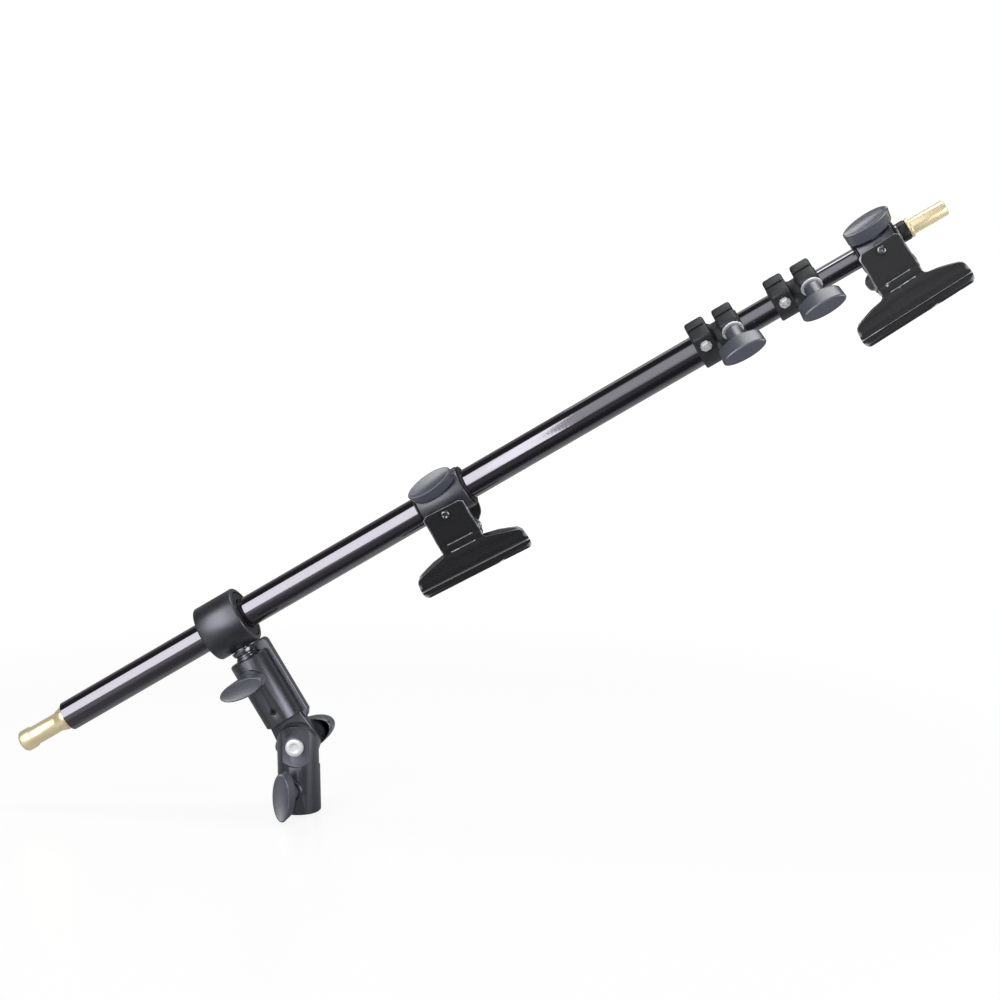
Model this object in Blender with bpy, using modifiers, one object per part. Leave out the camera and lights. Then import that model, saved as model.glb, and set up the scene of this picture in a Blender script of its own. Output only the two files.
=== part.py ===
"""Telescopic boom arm with a tilting stand head, two tube locks and two bulldog clips.

Metres, +Z up.  The frame's origin is the centre of the stand socket's mouth.
+X is toward the boom's high end and -Y is toward the viewer of the photograph.
Lengths below are in millimetres and are turned into metres by the constant MM.
"""
import math

import bmesh
import bpy
from mathutils import Matrix, Vector

MM = 0.001
GAP = 0.3

# Boom line
BOOM_ANGLE = 30.0
PIVOT_HEIGHT = 50.0
PIVOT_TO_BOOM = 101.0

# Tubes: outer radius, wall, ends measured along the boom from the swivel collar
MAIN_RADIUS = 11.1
MIDDLE_RADIUS = 9.0
INNER_RADIUS = 7.35
TUBE_WALL = 1.2
MAIN_START = -139.6
MAIN_END = 408.0
MIDDLE_START = -75.0
MIDDLE_END = 469.0
INNER_START = 13.0
INNER_END = 551.5
GLIDE_LENGTH = 14.0
GLIDE_LIP = 1.5

# Rear spigot and front stud
SPIGOT_HEAD_RADIUS = 8.0
SPIGOT_NECK_RADIUS = 7.0
SPIGOT_SHOULDER_RADIUS = 8.7
SPIGOT_HEAD_LENGTH = 10.0
SPIGOT_NECK_LENGTH = 21.5
SPIGOT_SHOULDER_LENGTH = 8.6
SPIGOT_PLUG_LENGTH = 16.0
CAP_LENGTH = 5.5
CAP_RADIUS = 7.2
STUD_RADIUS = 5.5
STUD_LENGTH = 29.0
STUD_FLANGE_RADIUS = 7.0
STUD_FLANGE_LENGTH = 2.4
STUD_PLUG_LENGTH = 12.0

# Stand head
SOCKET_RADIUS = 8.2
LOWER_RADIUS = 15.5
LOWER_HEIGHT = 33.8
LOWER_SOCKET_DEPTH = 29.0
CHEEK_FRONT = -12.0
CHEEK_BACK = -1.4
CHEEK_ROUND = 15.2
UPPER_RADIUS = 14.2
UPPER_START = 19.6
UPPER_LENGTH = 53.0
UPPER_SOCKET_DEPTH = 42.0
EAR_FRONT = 0.9
EAR_BACK = 11.5
EAR_ROUND = 14.6
DISC_RADIUS = 12.6
DISC_LAND = 7.5
RAIL_LEFT = 5.0
RAIL_RIGHT = 17.2
RAIL_FRONT = 6.0
RAIL_BACK = 14.6
RAIL_START = 13.5
RAIL_TOP = 79.3
PIVOT_SHANK_RADIUS = 4.0
PIVOT_HEAD_FLAT = 6.0
PIVOT_HEAD_HEIGHT = 4.2
LOWER_SCREW_HEIGHT = 18.4
UPPER_SCREW_UP = 57.0
GRIP_TURN = -9.0
GRIP_BOSS_RADIUS = 8.5
GRIP_BOSS_REACH = 2.6
SET_SCREW_UP = 30.0

# Swivel collar and its stud
COLLAR_RADIUS = 21.0
COLLAR_LENGTH = 32.5
COLLAR_EDGE = 1.6
BUSH_RADIUS = 14.6
BUSH_FLANGE = 17.6
BUSH_FLANGE_THICK = 2.2
STEM_RADIUS = 7.9
STEM_GROOVE = 1.6

# Oval knobs
KNOB_HALF_LENGTH = 17.8
KNOB_HALF_WIDTH = 6.75
KNOB_HEIGHT = 13.0
KNOB_STEM_RADIUS = 6.3
SCREW_RADIUS = 2.9

# Tube locks, seen along the boom: the ears lean up and toward the viewer
LOCK_EAR_LEAN = 46.0
LOCK_WALL = 3.1
LOCK_BIG_LENGTH = 15.0
LOCK_NECK_LENGTH = 5.5
LOCK_SMALL_LENGTH = 16.0
LOCK_EAR_WIDTH = 14.5
LOCK_EAR_REACH = 7.0
LOCK_EAR_ABOVE = 9.0
LOCK_EAR_BELOW = 11.4
LOCK_SLIT = 1.4
LOCK_SHOULDER_LENGTH = 1.6
LOCK_SHOULDER_SLOPE = 0.875
LOCK_ONE_START = 392.0
LOCK_TWO_START = 453.0
BOLT_RADIUS = 1.9
BOLT_HEAD_RADIUS = 3.4
NUT_FLAT = 3.6
NUT_HEIGHT = 3.4

# Clips: seat along the boom, sleeve, turn round the tube, and the rivet's drop and shift on it
CLIP_ONE_SEAT = 185.0
CLIP_TWO_SEAT = 534.0
CLIP_ONE_WALL = 4.5
CLIP_TWO_WALL = 5.65
CLIP_ONE_SLEEVE = MAIN_RADIUS + CLIP_ONE_WALL
CLIP_TWO_SLEEVE = INNER_RADIUS + CLIP_TWO_WALL
CLIP_ONE_LENGTH = 36.0
CLIP_TWO_LENGTH = 28.0
CLIP_ONE_TURN = 17.5
CLIP_TWO_TURN = 2.0
CLIP_ONE_DROP = 4.8
CLIP_TWO_DROP = 2.5
CLIP_ONE_SHIFT = -3.0
CLIP_TWO_SHIFT = 0.0
CLIP_ONE_SWING = 3.0
CLIP_TWO_SWING = -2.5
CLIP_KNOB_LEAN = 50.0
PAD_PROUD = 0.5
SHEET = 1.2
JAW_TOP = 5.0
JAW_NECK_HALF = 16.0
JAW_FLARE = 26.5
JAW_BLADE_HALF = 43.5
JAW_BEAD = 45.5
JAW_BOTTOM = 52.5
JAW_LIP_ANGLE = 12.0
PIN_DROP = 22.0
PIN_BEHIND = 9.0
PIN_RADIUS = 1.5
COIL_RADIUS = 3.4
COIL_WIRE = 0.7
TAB_HALF = 19.5
RIVET_RADIUS = 3.3

TURN = math.radians(BOOM_ANGLE)
BOOM_AXIS = Vector((math.cos(TURN), 0, math.sin(TURN)))
HEAD_AXIS = Vector((-math.sin(TURN), 0, math.cos(TURN)))
PIVOT = Vector((0, 0, PIVOT_HEIGHT))
HUB = PIVOT + HEAD_AXIS * PIVOT_TO_BOOM
ROUND = 28

for leftover in list(bpy.data.objects):
    bpy.data.objects.remove(leftover, do_unlink=True)

cutters = bpy.data.collections.new("cutters")
bpy.context.scene.collection.children.link(cutters)


def material(name, colour, roughness, metallic):
    """A Principled material of one sub-part."""
    made = bpy.data.materials.new(name)
    made.use_nodes = True
    shader = made.node_tree.nodes["Principled BSDF"]
    shader.inputs["Base Color"].default_value = (*colour, 1)
    shader.inputs["Roughness"].default_value = roughness
    shader.inputs["Metallic"].default_value = metallic
    return made


FINISHES = {
    "gloss_tube": ((0.012, 0.012, 0.014), 0.16, 0.0),
    "satin_cast": ((0.055, 0.057, 0.063), 0.42, 0.3),
    "black_sheet": ((0.018, 0.018, 0.021), 0.35, 0.0),
    "knob_plastic": ((0.075, 0.082, 0.098), 0.5, 0.0),
    "lock_plastic": ((0.03, 0.031, 0.034), 0.45, 0.0),
    "nylon": ((0.02, 0.02, 0.022), 0.5, 0.0),
    "steel": ((0.72, 0.73, 0.75), 0.25, 1.0),
    "dark_steel": ((0.09, 0.09, 0.1), 0.3, 1.0),
    "brass": ((0.86, 0.66, 0.33), 0.22, 1.0),
}


def frame_of(origin, tilt=0.0, roll=0.0):
    """A frame at origin (millimetres), tilted with the boom, then rolled round the boom's axis."""
    place = Matrix.Translation(Vector(origin) * MM)
    lean = Matrix.Rotation(-math.radians(tilt), 4, "Y")
    turn = Matrix.Rotation(math.radians(roll), 4, "X")
    return place @ lean @ turn


def boom_frame(along, roll=0.0):
    """The frame of a piece seated on the boom at a distance from the collar."""
    return frame_of(HUB + BOOM_AXIS * along, BOOM_ANGLE, roll)


def mesh_object(name, shape):
    """A scratch object from a bmesh in millimetres."""
    bmesh.ops.remove_doubles(shape, verts=shape.verts, dist=1e-4)
    bmesh.ops.recalc_face_normals(shape, faces=shape.faces)
    data = bpy.data.meshes.new(name)
    shape.to_mesh(data)
    shape.free()
    return bpy.data.objects.new(name, data)


def lofted(rings, name="loft"):
    """A closed body through rings of equal counts of points, capped at both ends."""
    shape = bmesh.new()
    rows = [[shape.verts.new(point) for point in ring] for ring in rings]
    for low, high in zip(rows, rows[1:]):
        for i in range(len(low)):
            j = (i + 1) % len(low)
            shape.faces.new((low[i], low[j], high[j], high[i]))
    shape.faces.new(rows[0][::-1])
    shape.faces.new(rows[-1])
    return mesh_object(name, shape)


def turned(profile, axis="Z", count=ROUND, name="turned"):
    """A body turned from (radius, height) pairs round the local axis."""
    rings = []
    for radius, height in profile:
        ring = []
        for i in range(count):
            angle = math.tau * i / count
            ring.append((radius * math.cos(angle), radius * math.sin(angle), height))
        rings.append(ring)
    made = lofted(rings, name)
    turn_to(made, axis)
    return made


def ring_of(profile, axis="Z", count=ROUND, name="ring"):
    """A ring-shaped body: a closed (radius, height) outline turned round the local axis."""
    shape = bmesh.new()
    rows = []
    for i in range(count):
        angle = math.tau * i / count
        row = [
            shape.verts.new((r * math.cos(angle), r * math.sin(angle), z))
            for r, z in profile
        ]
        rows.append(row)
    for i in range(count):
        here, there = rows[i], rows[(i + 1) % count]
        for k in range(len(profile)):
            m = (k + 1) % len(profile)
            shape.faces.new((here[k], there[k], there[m], here[m]))
    made = mesh_object(name, shape)
    turn_to(made, axis)
    return made


def tube(outer, inner, start, end, axis="X", count=ROUND, edge=0.25):
    """A plain tube between two stations with small edge breaks."""
    outline = [
        (inner, start),
        (outer - edge, start),
        (outer, start + edge),
        (outer, end - edge),
        (outer - edge, end),
        (inner, end),
    ]
    return ring_of(outline, axis, count)


def rod(radius, start, end, axis="X", count=ROUND, edge=0.0):
    """A solid round bar between two stations."""
    profile = [(radius, start), (radius, end)]
    if edge:
        profile = [
            (radius - edge, start),
            (radius, start + edge),
            (radius, end - edge),
            (radius - edge, end),
        ]
    return turned(profile, axis, count)


def turn_to(made, axis):
    """Lay a body made round Z along another axis."""
    if axis == "X":
        made.data.transform(Matrix.Rotation(math.radians(90), 4, "Y"))
    if axis == "-Y":
        made.data.transform(Matrix.Rotation(math.radians(90), 4, "X"))
    if axis == "Y":
        made.data.transform(Matrix.Rotation(math.radians(-90), 4, "X"))


def prism(outline, start, end, axis="Z", bevel=0.0, segments=2):
    """A body with an outline in one plane, drawn out between two stations."""
    shape = bmesh.new()
    low = [shape.verts.new((x, y, start)) for x, y in outline]
    face = shape.faces.new(low)
    drawn = bmesh.ops.extrude_face_region(shape, geom=[face])
    moved = [item for item in drawn["geom"] if isinstance(item, bmesh.types.BMVert)]
    bmesh.ops.translate(shape, verts=moved, vec=(0, 0, end - start))
    if bevel:
        bmesh.ops.recalc_face_normals(shape, faces=shape.faces)
        bmesh.ops.bevel(
            shape,
            geom=list(shape.edges),
            offset=bevel,
            segments=segments,
            profile=0.5,
            affect="EDGES",
            clamp_overlap=True,
        )
    made = mesh_object("prism", shape)
    if axis == "X":
        made.data.transform(Matrix(((0, 0, 1, 0), (1, 0, 0, 0), (0, 1, 0, 0), (0, 0, 0, 1))))
    if axis == "Y":
        made.data.transform(Matrix(((1, 0, 0, 0), (0, 0, 1, 0), (0, 1, 0, 0), (0, 0, 0, 1))))
        made.data.flip_normals()
    return made


def block(low, high, bevel=0.0, segments=2):
    """A rectangular body between two corners."""
    outline = [(low[0], low[1]), (high[0], low[1]), (high[0], high[1]), (low[0], high[1])]
    return prism(outline, low[2], high[2], "Z", bevel, segments)


def moved(made, matrix):
    """A scratch body moved by a matrix in millimetres."""
    made.data.transform(matrix)
    return made


def combine(base, others, operation):
    """Join or cut a scratch body with others by exact booleans."""
    bpy.context.scene.collection.objects.link(base)
    for other in others:
        cutters.objects.link(other)
        other.display_type = "WIRE"
        other.hide_render = True
        change = base.modifiers.new("shape", "BOOLEAN")
        change.operation = operation
        change.solver = "EXACT"
        change.object = other
    bpy.context.view_layer.update()
    depsgraph = bpy.context.evaluated_depsgraph_get()
    data = bpy.data.meshes.new_from_object(base.evaluated_get(depsgraph))
    for other in others:
        bpy.data.objects.remove(other, do_unlink=True)
    bpy.data.objects.remove(base, do_unlink=True)
    return bpy.data.objects.new("combined", data)


def join(base, *others):
    return combine(base, others, "UNION")


def cut(base, *others):
    return combine(base, others, "DIFFERENCE")


def node(name, made, finish, place):
    """Hand a scratch body over as a named sub-part in its frame."""
    shape = bmesh.new()
    shape.from_mesh(made.data)
    bmesh.ops.remove_doubles(shape, verts=shape.verts, dist=5e-4)
    bmesh.ops.scale(shape, verts=shape.verts, vec=(MM, MM, MM))
    data = bpy.data.meshes.new(name)
    shape.to_mesh(data)
    shape.free()
    bpy.data.objects.remove(made, do_unlink=True)
    data.materials.clear()
    data.materials.append(material(name + "_" + finish, *FINISHES[finish]))
    data.shade_smooth()
    data.set_sharp_from_angle(angle=math.radians(32))
    final = bpy.data.objects.new(name, data)
    final.matrix_world = place
    home = bpy.data.collections.new(name)
    bpy.context.scene.collection.children.link(home)
    home.objects.link(final)
    return final


def arc(centre, radius, start, end, steps):
    """Points on an arc, angles in degrees."""
    points = []
    for i in range(steps + 1):
        angle = math.radians(start + (end - start) * i / steps)
        points.append((centre[0] + radius * math.cos(angle), centre[1] + radius * math.sin(angle)))
    return points


# Tubes, glides and end fittings
def main_tube():
    return tube(MAIN_RADIUS, MAIN_RADIUS - TUBE_WALL, MAIN_START, MAIN_END)


def middle_tube():
    return tube(MIDDLE_RADIUS, MIDDLE_RADIUS - TUBE_WALL, MIDDLE_START, MIDDLE_END)


def inner_tube():
    return tube(INNER_RADIUS, INNER_RADIUS - TUBE_WALL, INNER_START, INNER_END)


def glide(outside_bore, tube_radius, tube_start):
    """A nylon plug in a tube's rear end with a collar that runs in the next tube."""
    plug = tube_radius - TUBE_WALL - GAP / 2
    lip = outside_bore - GAP / 2
    profile = [
        (lip - 0.6, tube_start - GLIDE_LIP * 3),
        (lip, tube_start - GLIDE_LIP * 2.6),
        (lip, tube_start - GAP),
        (plug, tube_start - GAP),
        (plug, tube_start + GLIDE_LENGTH),
    ]
    return turned(profile, "X")


def rear_spigot():
    """A turned 16 mm spigot: chamfered head, waisted neck, cone shoulder and plug."""
    shoulder = MAIN_START - GAP
    neck = shoulder - SPIGOT_SHOULDER_LENGTH
    head = neck - SPIGOT_NECK_LENGTH
    tip = head - SPIGOT_HEAD_LENGTH
    plug = MAIN_RADIUS - TUBE_WALL - GAP / 2
    profile = [
        (SPIGOT_HEAD_RADIUS - 1.6, tip),
        (SPIGOT_HEAD_RADIUS, tip + 1.6),
        (SPIGOT_HEAD_RADIUS, head - 1.2),
        (SPIGOT_NECK_RADIUS, head + 0.6),
        (SPIGOT_NECK_RADIUS, neck),
        (SPIGOT_SHOULDER_RADIUS - 0.8, neck + SPIGOT_SHOULDER_LENGTH * 0.45),
        (SPIGOT_SHOULDER_RADIUS, neck + SPIGOT_SHOULDER_LENGTH * 0.8),
        (SPIGOT_SHOULDER_RADIUS, shoulder),
        (plug - 0.5, shoulder),
        (plug - 0.5, shoulder + GAP),
        (plug, shoulder + 0.8),
        (plug, shoulder + SPIGOT_PLUG_LENGTH),
    ]
    return turned(profile, "X")


def front_cap():
    """The black plug that closes the inner tube and carries the stud."""
    bore = STUD_RADIUS - 1.0
    plug = INNER_RADIUS - TUBE_WALL - GAP / 2
    face = INNER_END + GAP
    outline = [
        (bore, face - STUD_PLUG_LENGTH),
        (plug, face - STUD_PLUG_LENGTH),
        (plug, face),
        (CAP_RADIUS, face),
        (CAP_RADIUS, face + CAP_LENGTH - 0.8),
        (CAP_RADIUS - 0.8, face + CAP_LENGTH),
        (bore, face + CAP_LENGTH),
    ]
    return ring_of(outline, "X")


def front_stud():
    """The turned stud with its flange and the screwed tail in the cap."""
    face = INNER_END + CAP_LENGTH + GAP * 2
    root = face + STUD_FLANGE_LENGTH
    tip = face + STUD_LENGTH
    tail = STUD_RADIUS - 1.0 - GAP / 2
    profile = [
        (tail, face - CAP_LENGTH),
        (tail, face),
        (STUD_FLANGE_RADIUS, face),
        (STUD_FLANGE_RADIUS, root - 0.5),
        (STUD_FLANGE_RADIUS - 0.5, root),
        (STUD_RADIUS, root + 0.2),
        (STUD_RADIUS, tip - 0.9),
        (STUD_RADIUS - 0.9, tip),
    ]
    return turned(profile, "X")


# Oval knobs and their screws, both along the local +Z
def oval_ring(half_length, half_width, height, count=28):
    """One ring of a knob: a slightly squared oval, long axis on X."""
    ring = []
    for i in range(count):
        angle = math.tau * i / count
        c, s = math.cos(angle), math.sin(angle)
        x = half_length * math.copysign(abs(c) ** 0.92, c)
        y = half_width * math.copysign(abs(s) ** 0.8, s)
        ring.append((x, y, height))
    return ring


def oval_knob(stem, height=KNOB_HEIGHT, half_length=KNOB_HALF_LENGTH, half_width=KNOB_HALF_WIDTH):
    """A moulded knob: round stem, tapered oval wall and dished face, bored for its screw."""
    top = stem + height
    rings = [
        oval_ring(KNOB_STEM_RADIUS - 0.4, KNOB_STEM_RADIUS - 0.4, 0),
        oval_ring(KNOB_STEM_RADIUS, KNOB_STEM_RADIUS, 0.5),
        oval_ring(KNOB_STEM_RADIUS, KNOB_STEM_RADIUS * 0.97, stem),
        oval_ring(half_length - 1.8, half_width * 0.93, stem + 0.2),
        oval_ring(half_length - 0.6, half_width * 0.98, stem + 1.6),
        oval_ring(half_length, half_width, top - 1.4),
        oval_ring(half_length - 0.5, half_width - 0.4, top - 0.4),
        oval_ring(half_length - 1.4, half_width - 1.1, top),
        oval_ring(half_length - 2.2, half_width - 1.8, top - 0.1),
        oval_ring(half_length - 3.2, half_width - 2.5, top - 0.7),
    ]
    body = lofted(rings)
    bore = rod(SCREW_RADIUS + GAP / 2, -1, stem + height * 0.55, "Z", 14)
    return cut(body, bore)


def screw_pin(start, end):
    """The steel screw moulded in a knob, with a chamfered point."""
    profile = [
        (SCREW_RADIUS - 0.9, start),
        (SCREW_RADIUS, start + 0.9),
        (SCREW_RADIUS, end),
    ]
    return turned(profile, "Z", 14)


def knob_frame(place, direction, base, spin):
    """A frame whose Z is a direction in the local YZ plane of place, at a distance from its axis."""
    lean = math.radians(direction)
    normal = Vector((0, -math.cos(lean), math.sin(lean)))
    side = Vector((1, 0, 0))
    third = normal.cross(side)
    turn = Matrix((side, third, normal)).transposed().to_4x4()
    spun = Matrix.Rotation(math.radians(spin), 4, "Z")
    return place @ Matrix.Translation(normal * base * MM) @ turn @ spun


# Stand head
def lower_receiver():
    """The lower casting: socket, front hinge cheek with a flat, and the screw's boss."""
    outline = [
        (LOWER_RADIUS - 1.0, 0),
        (LOWER_RADIUS, 1.0),
        (LOWER_RADIUS, PIVOT_HEIGHT + CHEEK_ROUND + 4),
    ]
    body = turned(outline, "Z", 24)
    behind = block((-30, CHEEK_BACK, LOWER_HEIGHT), (30, 30, 90))
    flat = prism(
        arc((0, PIVOT_HEIGHT), CHEEK_ROUND - 0.4, 0, 360, 48)[:-1], -30, CHEEK_FRONT, "Y"
    )
    high = [(-30, PIVOT_HEIGHT)]
    high += [(-CHEEK_ROUND - 0.02, PIVOT_HEIGHT)]
    high += arc((0, PIVOT_HEIGHT), CHEEK_ROUND, 180, 0, 24)[1:-1]
    high += [(CHEEK_ROUND + 0.02, PIVOT_HEIGHT), (30, PIVOT_HEIGHT), (30, 95), (-30, 95)]
    rounding = prism(high, -30, 30, "Y")
    boss = moved(
        rod(GRIP_BOSS_RADIUS, LOWER_RADIUS - 6, LOWER_RADIUS + GRIP_BOSS_REACH, "-Y", 28, 0.6),
        Matrix.Rotation(math.radians(GRIP_TURN), 4, "Z")
        @ Matrix.Translation((0, 0, LOWER_SCREW_HEIGHT)),
    )
    socket = turned(
        [
            (SOCKET_RADIUS + 1.2, -1),
            (SOCKET_RADIUS + 0.9, 0),
            (SOCKET_RADIUS, 0.9),
            (SOCKET_RADIUS, LOWER_SOCKET_DEPTH),
        ],
        "Z",
    )
    screw_hole = moved(
        rod(SCREW_RADIUS + GAP, 4, LOWER_RADIUS + 12, "-Y", 32),
        Matrix.Rotation(math.radians(GRIP_TURN), 4, "Z")
        @ Matrix.Translation((0, 0, LOWER_SCREW_HEIGHT)),
    )
    pivot_hole = moved(
        rod(PIVOT_SHANK_RADIUS + GAP, -30, 30, "Y", 20), Matrix.Translation((0, 0, PIVOT_HEIGHT))
    )
    body = cut(body, behind, flat, rounding)
    body = join(body, boss)
    return cut(body, socket, screw_hole, pivot_hole)


def upper_receiver():
    """The upper casting: socket barrel, hinge ear behind the cheek and the guide rail."""
    barrel = turned(
        [
            (UPPER_RADIUS - 1.0, UPPER_START),
            (UPPER_RADIUS, UPPER_START + 1.0),
            (UPPER_RADIUS, UPPER_START + UPPER_LENGTH - 1.2),
            (UPPER_RADIUS - 1.2, UPPER_START + UPPER_LENGTH),
        ],
        "Z",
        40,
    )
    ear_outline = arc((0, 0), EAR_ROUND, 180, 360, 28)
    ear_outline += [(UPPER_RADIUS - 2.0, UPPER_START + 6), (-UPPER_RADIUS + 2.0, UPPER_START + 6)]
    ear = prism(ear_outline, EAR_FRONT, EAR_BACK, "Y", 0.5, 1)
    rail_outline = [(RAIL_LEFT, RAIL_START + 10), (RAIL_LEFT + 4, RAIL_START)]
    rail_outline += [(RAIL_RIGHT - 3.0, RAIL_START), (RAIL_RIGHT, RAIL_START + 4)]
    rail_outline += arc((RAIL_RIGHT - 3.5, RAIL_TOP - 3.5), 3.5, 0, 90, 6)
    rail_outline += [(RAIL_LEFT + 1.5, RAIL_TOP), (RAIL_LEFT, RAIL_TOP - 1.5)]
    rail = prism(rail_outline, RAIL_FRONT, RAIL_BACK, "Y", 0.5, 1)
    boss = moved(
        rod(GRIP_BOSS_RADIUS, UPPER_RADIUS - 6, UPPER_RADIUS + GRIP_BOSS_REACH, "-Y", 28, 0.6),
        Matrix.Rotation(math.radians(GRIP_TURN), 4, "Z") @ Matrix.Translation((0, 0, UPPER_SCREW_UP)),
    )
    top = UPPER_START + UPPER_LENGTH
    socket = turned(
        [
            (SOCKET_RADIUS, top - UPPER_SOCKET_DEPTH),
            (SOCKET_RADIUS, top - 0.9),
            (SOCKET_RADIUS + 0.9, top),
            (SOCKET_RADIUS + 0.9, top + 20),
        ],
        "Z",
    )
    screw_hole = moved(
        rod(SCREW_RADIUS + GAP, 4, UPPER_RADIUS + 12, "-Y", 32),
        Matrix.Rotation(math.radians(GRIP_TURN), 4, "Z") @ Matrix.Translation((0, 0, UPPER_SCREW_UP)),
    )
    set_hole = moved(
        rod(2.6, STEM_RADIUS - 1.7, UPPER_RADIUS + 6, "-Y", 16), Matrix.Translation((0, 0, SET_SCREW_UP))
    )
    pivot_hole = rod(PIVOT_SHANK_RADIUS + GAP, -30, 30, "Y", 20)
    body = join(barrel, ear, rail, boss)
    return cut(body, socket, screw_hole, set_hole, pivot_hole)


def set_screw():
    """A small socket screw sunk in the upper casting."""
    body = rod(2.6 - GAP / 2, STEM_RADIUS + GAP * 2, UPPER_RADIUS - 1.2, "-Y", 16)
    key = prism(arc((0, 0), 1.3, 0, 360, 6)[:-1], UPPER_RADIUS - 3.4, UPPER_RADIUS, "Z")
    turn_to(key, "-Y")
    return cut(body, key)


def friction_disc():
    """The toothed ring that bites between cheek and ear."""
    count = 48
    inner = PIVOT_SHANK_RADIUS + GAP * 2
    shape = bmesh.new()
    rows = []
    for i in range(count):
        angle = math.tau * i / count
        tooth = 0.35 if i % 2 else 0.0
        outline = [
            (inner, -0.95),
            (DISC_RADIUS, -0.95),
            (DISC_RADIUS, 0.25 + tooth),
            (DISC_LAND, 0.25 + tooth),
            (inner, 0.25),
        ]
        row = []
        for radius, y in outline:
            row.append(shape.verts.new((radius * math.cos(angle), y, radius * math.sin(angle))))
        rows.append(row)
    for i in range(count):
        here, there = rows[i], rows[(i + 1) % count]
        for k in range(5):
            m = (k + 1) % 5
            shape.faces.new((here[k], there[k], there[m], here[m]))
    return mesh_object("disc", shape)


def pivot_bolt():
    """A hexagon bolt through the hinge, head in the cheek's flat."""
    head = prism(
        arc((0, 0), PIVOT_HEAD_FLAT / math.cos(math.radians(30)), 0, 360, 6)[:-1],
        CHEEK_FRONT - GAP - PIVOT_HEAD_HEIGHT,
        CHEEK_FRONT - GAP,
        "Y",
    )
    dome = turned(
        [
            (PIVOT_HEAD_FLAT * 1.16, -CHEEK_FRONT - 2),
            (PIVOT_HEAD_FLAT * 1.16, -CHEEK_FRONT + GAP + PIVOT_HEAD_HEIGHT - 1.0),
            (PIVOT_HEAD_FLAT * 0.95, -CHEEK_FRONT + GAP + PIVOT_HEAD_HEIGHT + 0.01),
        ],
        "-Y",
    )
    head = combine(head, [dome], "INTERSECT")
    shank = rod(PIVOT_SHANK_RADIUS, CHEEK_FRONT - GAP - 1.5, EAR_BACK + 12, "Y", 20)
    return join(head, shank)


def rear_washer():
    return tube(8.6, PIVOT_SHANK_RADIUS + GAP, EAR_BACK + GAP, EAR_BACK + GAP + 1.4, "Y", 16)


def rear_knob():
    """The oval hand knob on the hinge bolt, behind the ear, long axis on the local X."""
    body = oval_knob(4.0, 12.0, 24.0, 11.5)
    widen = rod(PIVOT_SHANK_RADIUS + GAP, -1, 10.6, "Z", 32)
    return cut(body, widen)


def collar():
    """The swivel collar: a ring round the boom with a recess for the bush at each end."""
    half = COLLAR_LENGTH / 2
    recess = BUSH_FLANGE + GAP
    depth = BUSH_FLANGE_THICK + GAP
    outline = [
        (BUSH_RADIUS + GAP, -half + depth),
        (recess, -half + depth),
        (recess, -half),
        (COLLAR_RADIUS - COLLAR_EDGE, -half),
        (COLLAR_RADIUS - 0.45, -half + 0.5),
        (COLLAR_RADIUS, -half + COLLAR_EDGE),
        (COLLAR_RADIUS, half - COLLAR_EDGE),
        (COLLAR_RADIUS - 0.45, half - 0.5),
        (COLLAR_RADIUS - COLLAR_EDGE, half),
        (recess, half),
        (recess, half - depth),
        (BUSH_RADIUS + GAP, half - depth),
    ]
    body = ring_of(outline, "X", 40)
    stem_seat = rod(STEM_RADIUS - 1.5 + GAP / 2, -30, -BUSH_RADIUS - 1.6, "Z", 24)
    return cut(body, stem_seat)


def collar_bush():
    """The nylon bush the boom slides in: a sleeve with a flange at its front end."""
    half = COLLAR_LENGTH / 2
    bore = MAIN_RADIUS + GAP
    outline = [
        (bore, -half + BUSH_FLANGE_THICK + 0.4),
        (BUSH_RADIUS, -half + BUSH_FLANGE_THICK + 0.4),
        (BUSH_RADIUS, half - BUSH_FLANGE_THICK),
        (BUSH_FLANGE, half - BUSH_FLANGE_THICK),
        (BUSH_FLANGE, half - 0.7),
        (BUSH_FLANGE - 0.5, half - 0.2),
        (bore + 0.9, half - 0.2),
        (bore, half - 1.0),
    ]
    return ring_of(outline, "X", 40)


def swivel_stud():
    """The turned stud under the collar, seated in the upper socket, with a retaining groove."""
    top = -BUSH_RADIUS - 2.0
    mouth = -PIVOT_TO_BOOM + UPPER_START + UPPER_LENGTH
    foot = mouth - UPPER_SOCKET_DEPTH + 1.0
    under = -COLLAR_RADIUS - 0.4
    profile = [
        (STEM_RADIUS - 1.2, foot),
        (STEM_RADIUS, foot + 1.2),
        (STEM_RADIUS, mouth - 26),
        (STEM_RADIUS - STEM_GROOVE, mouth - 25),
        (STEM_RADIUS - STEM_GROOVE, mouth - 7),
        (STEM_RADIUS, mouth - 6),
        (STEM_RADIUS, mouth + 1.6),
        (STEM_RADIUS - 1.0, mouth + 2.3),
        (STEM_RADIUS - 1.0, mouth + 3.4),
        (STEM_RADIUS, mouth + 4.0),
        (STEM_RADIUS + 0.6, under - 1.0),
        (STEM_RADIUS + 0.6, under),
        (STEM_RADIUS - 1.5, under),
        (STEM_RADIUS - 1.5, top),
    ]
    return turned(profile, "Z")


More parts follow.
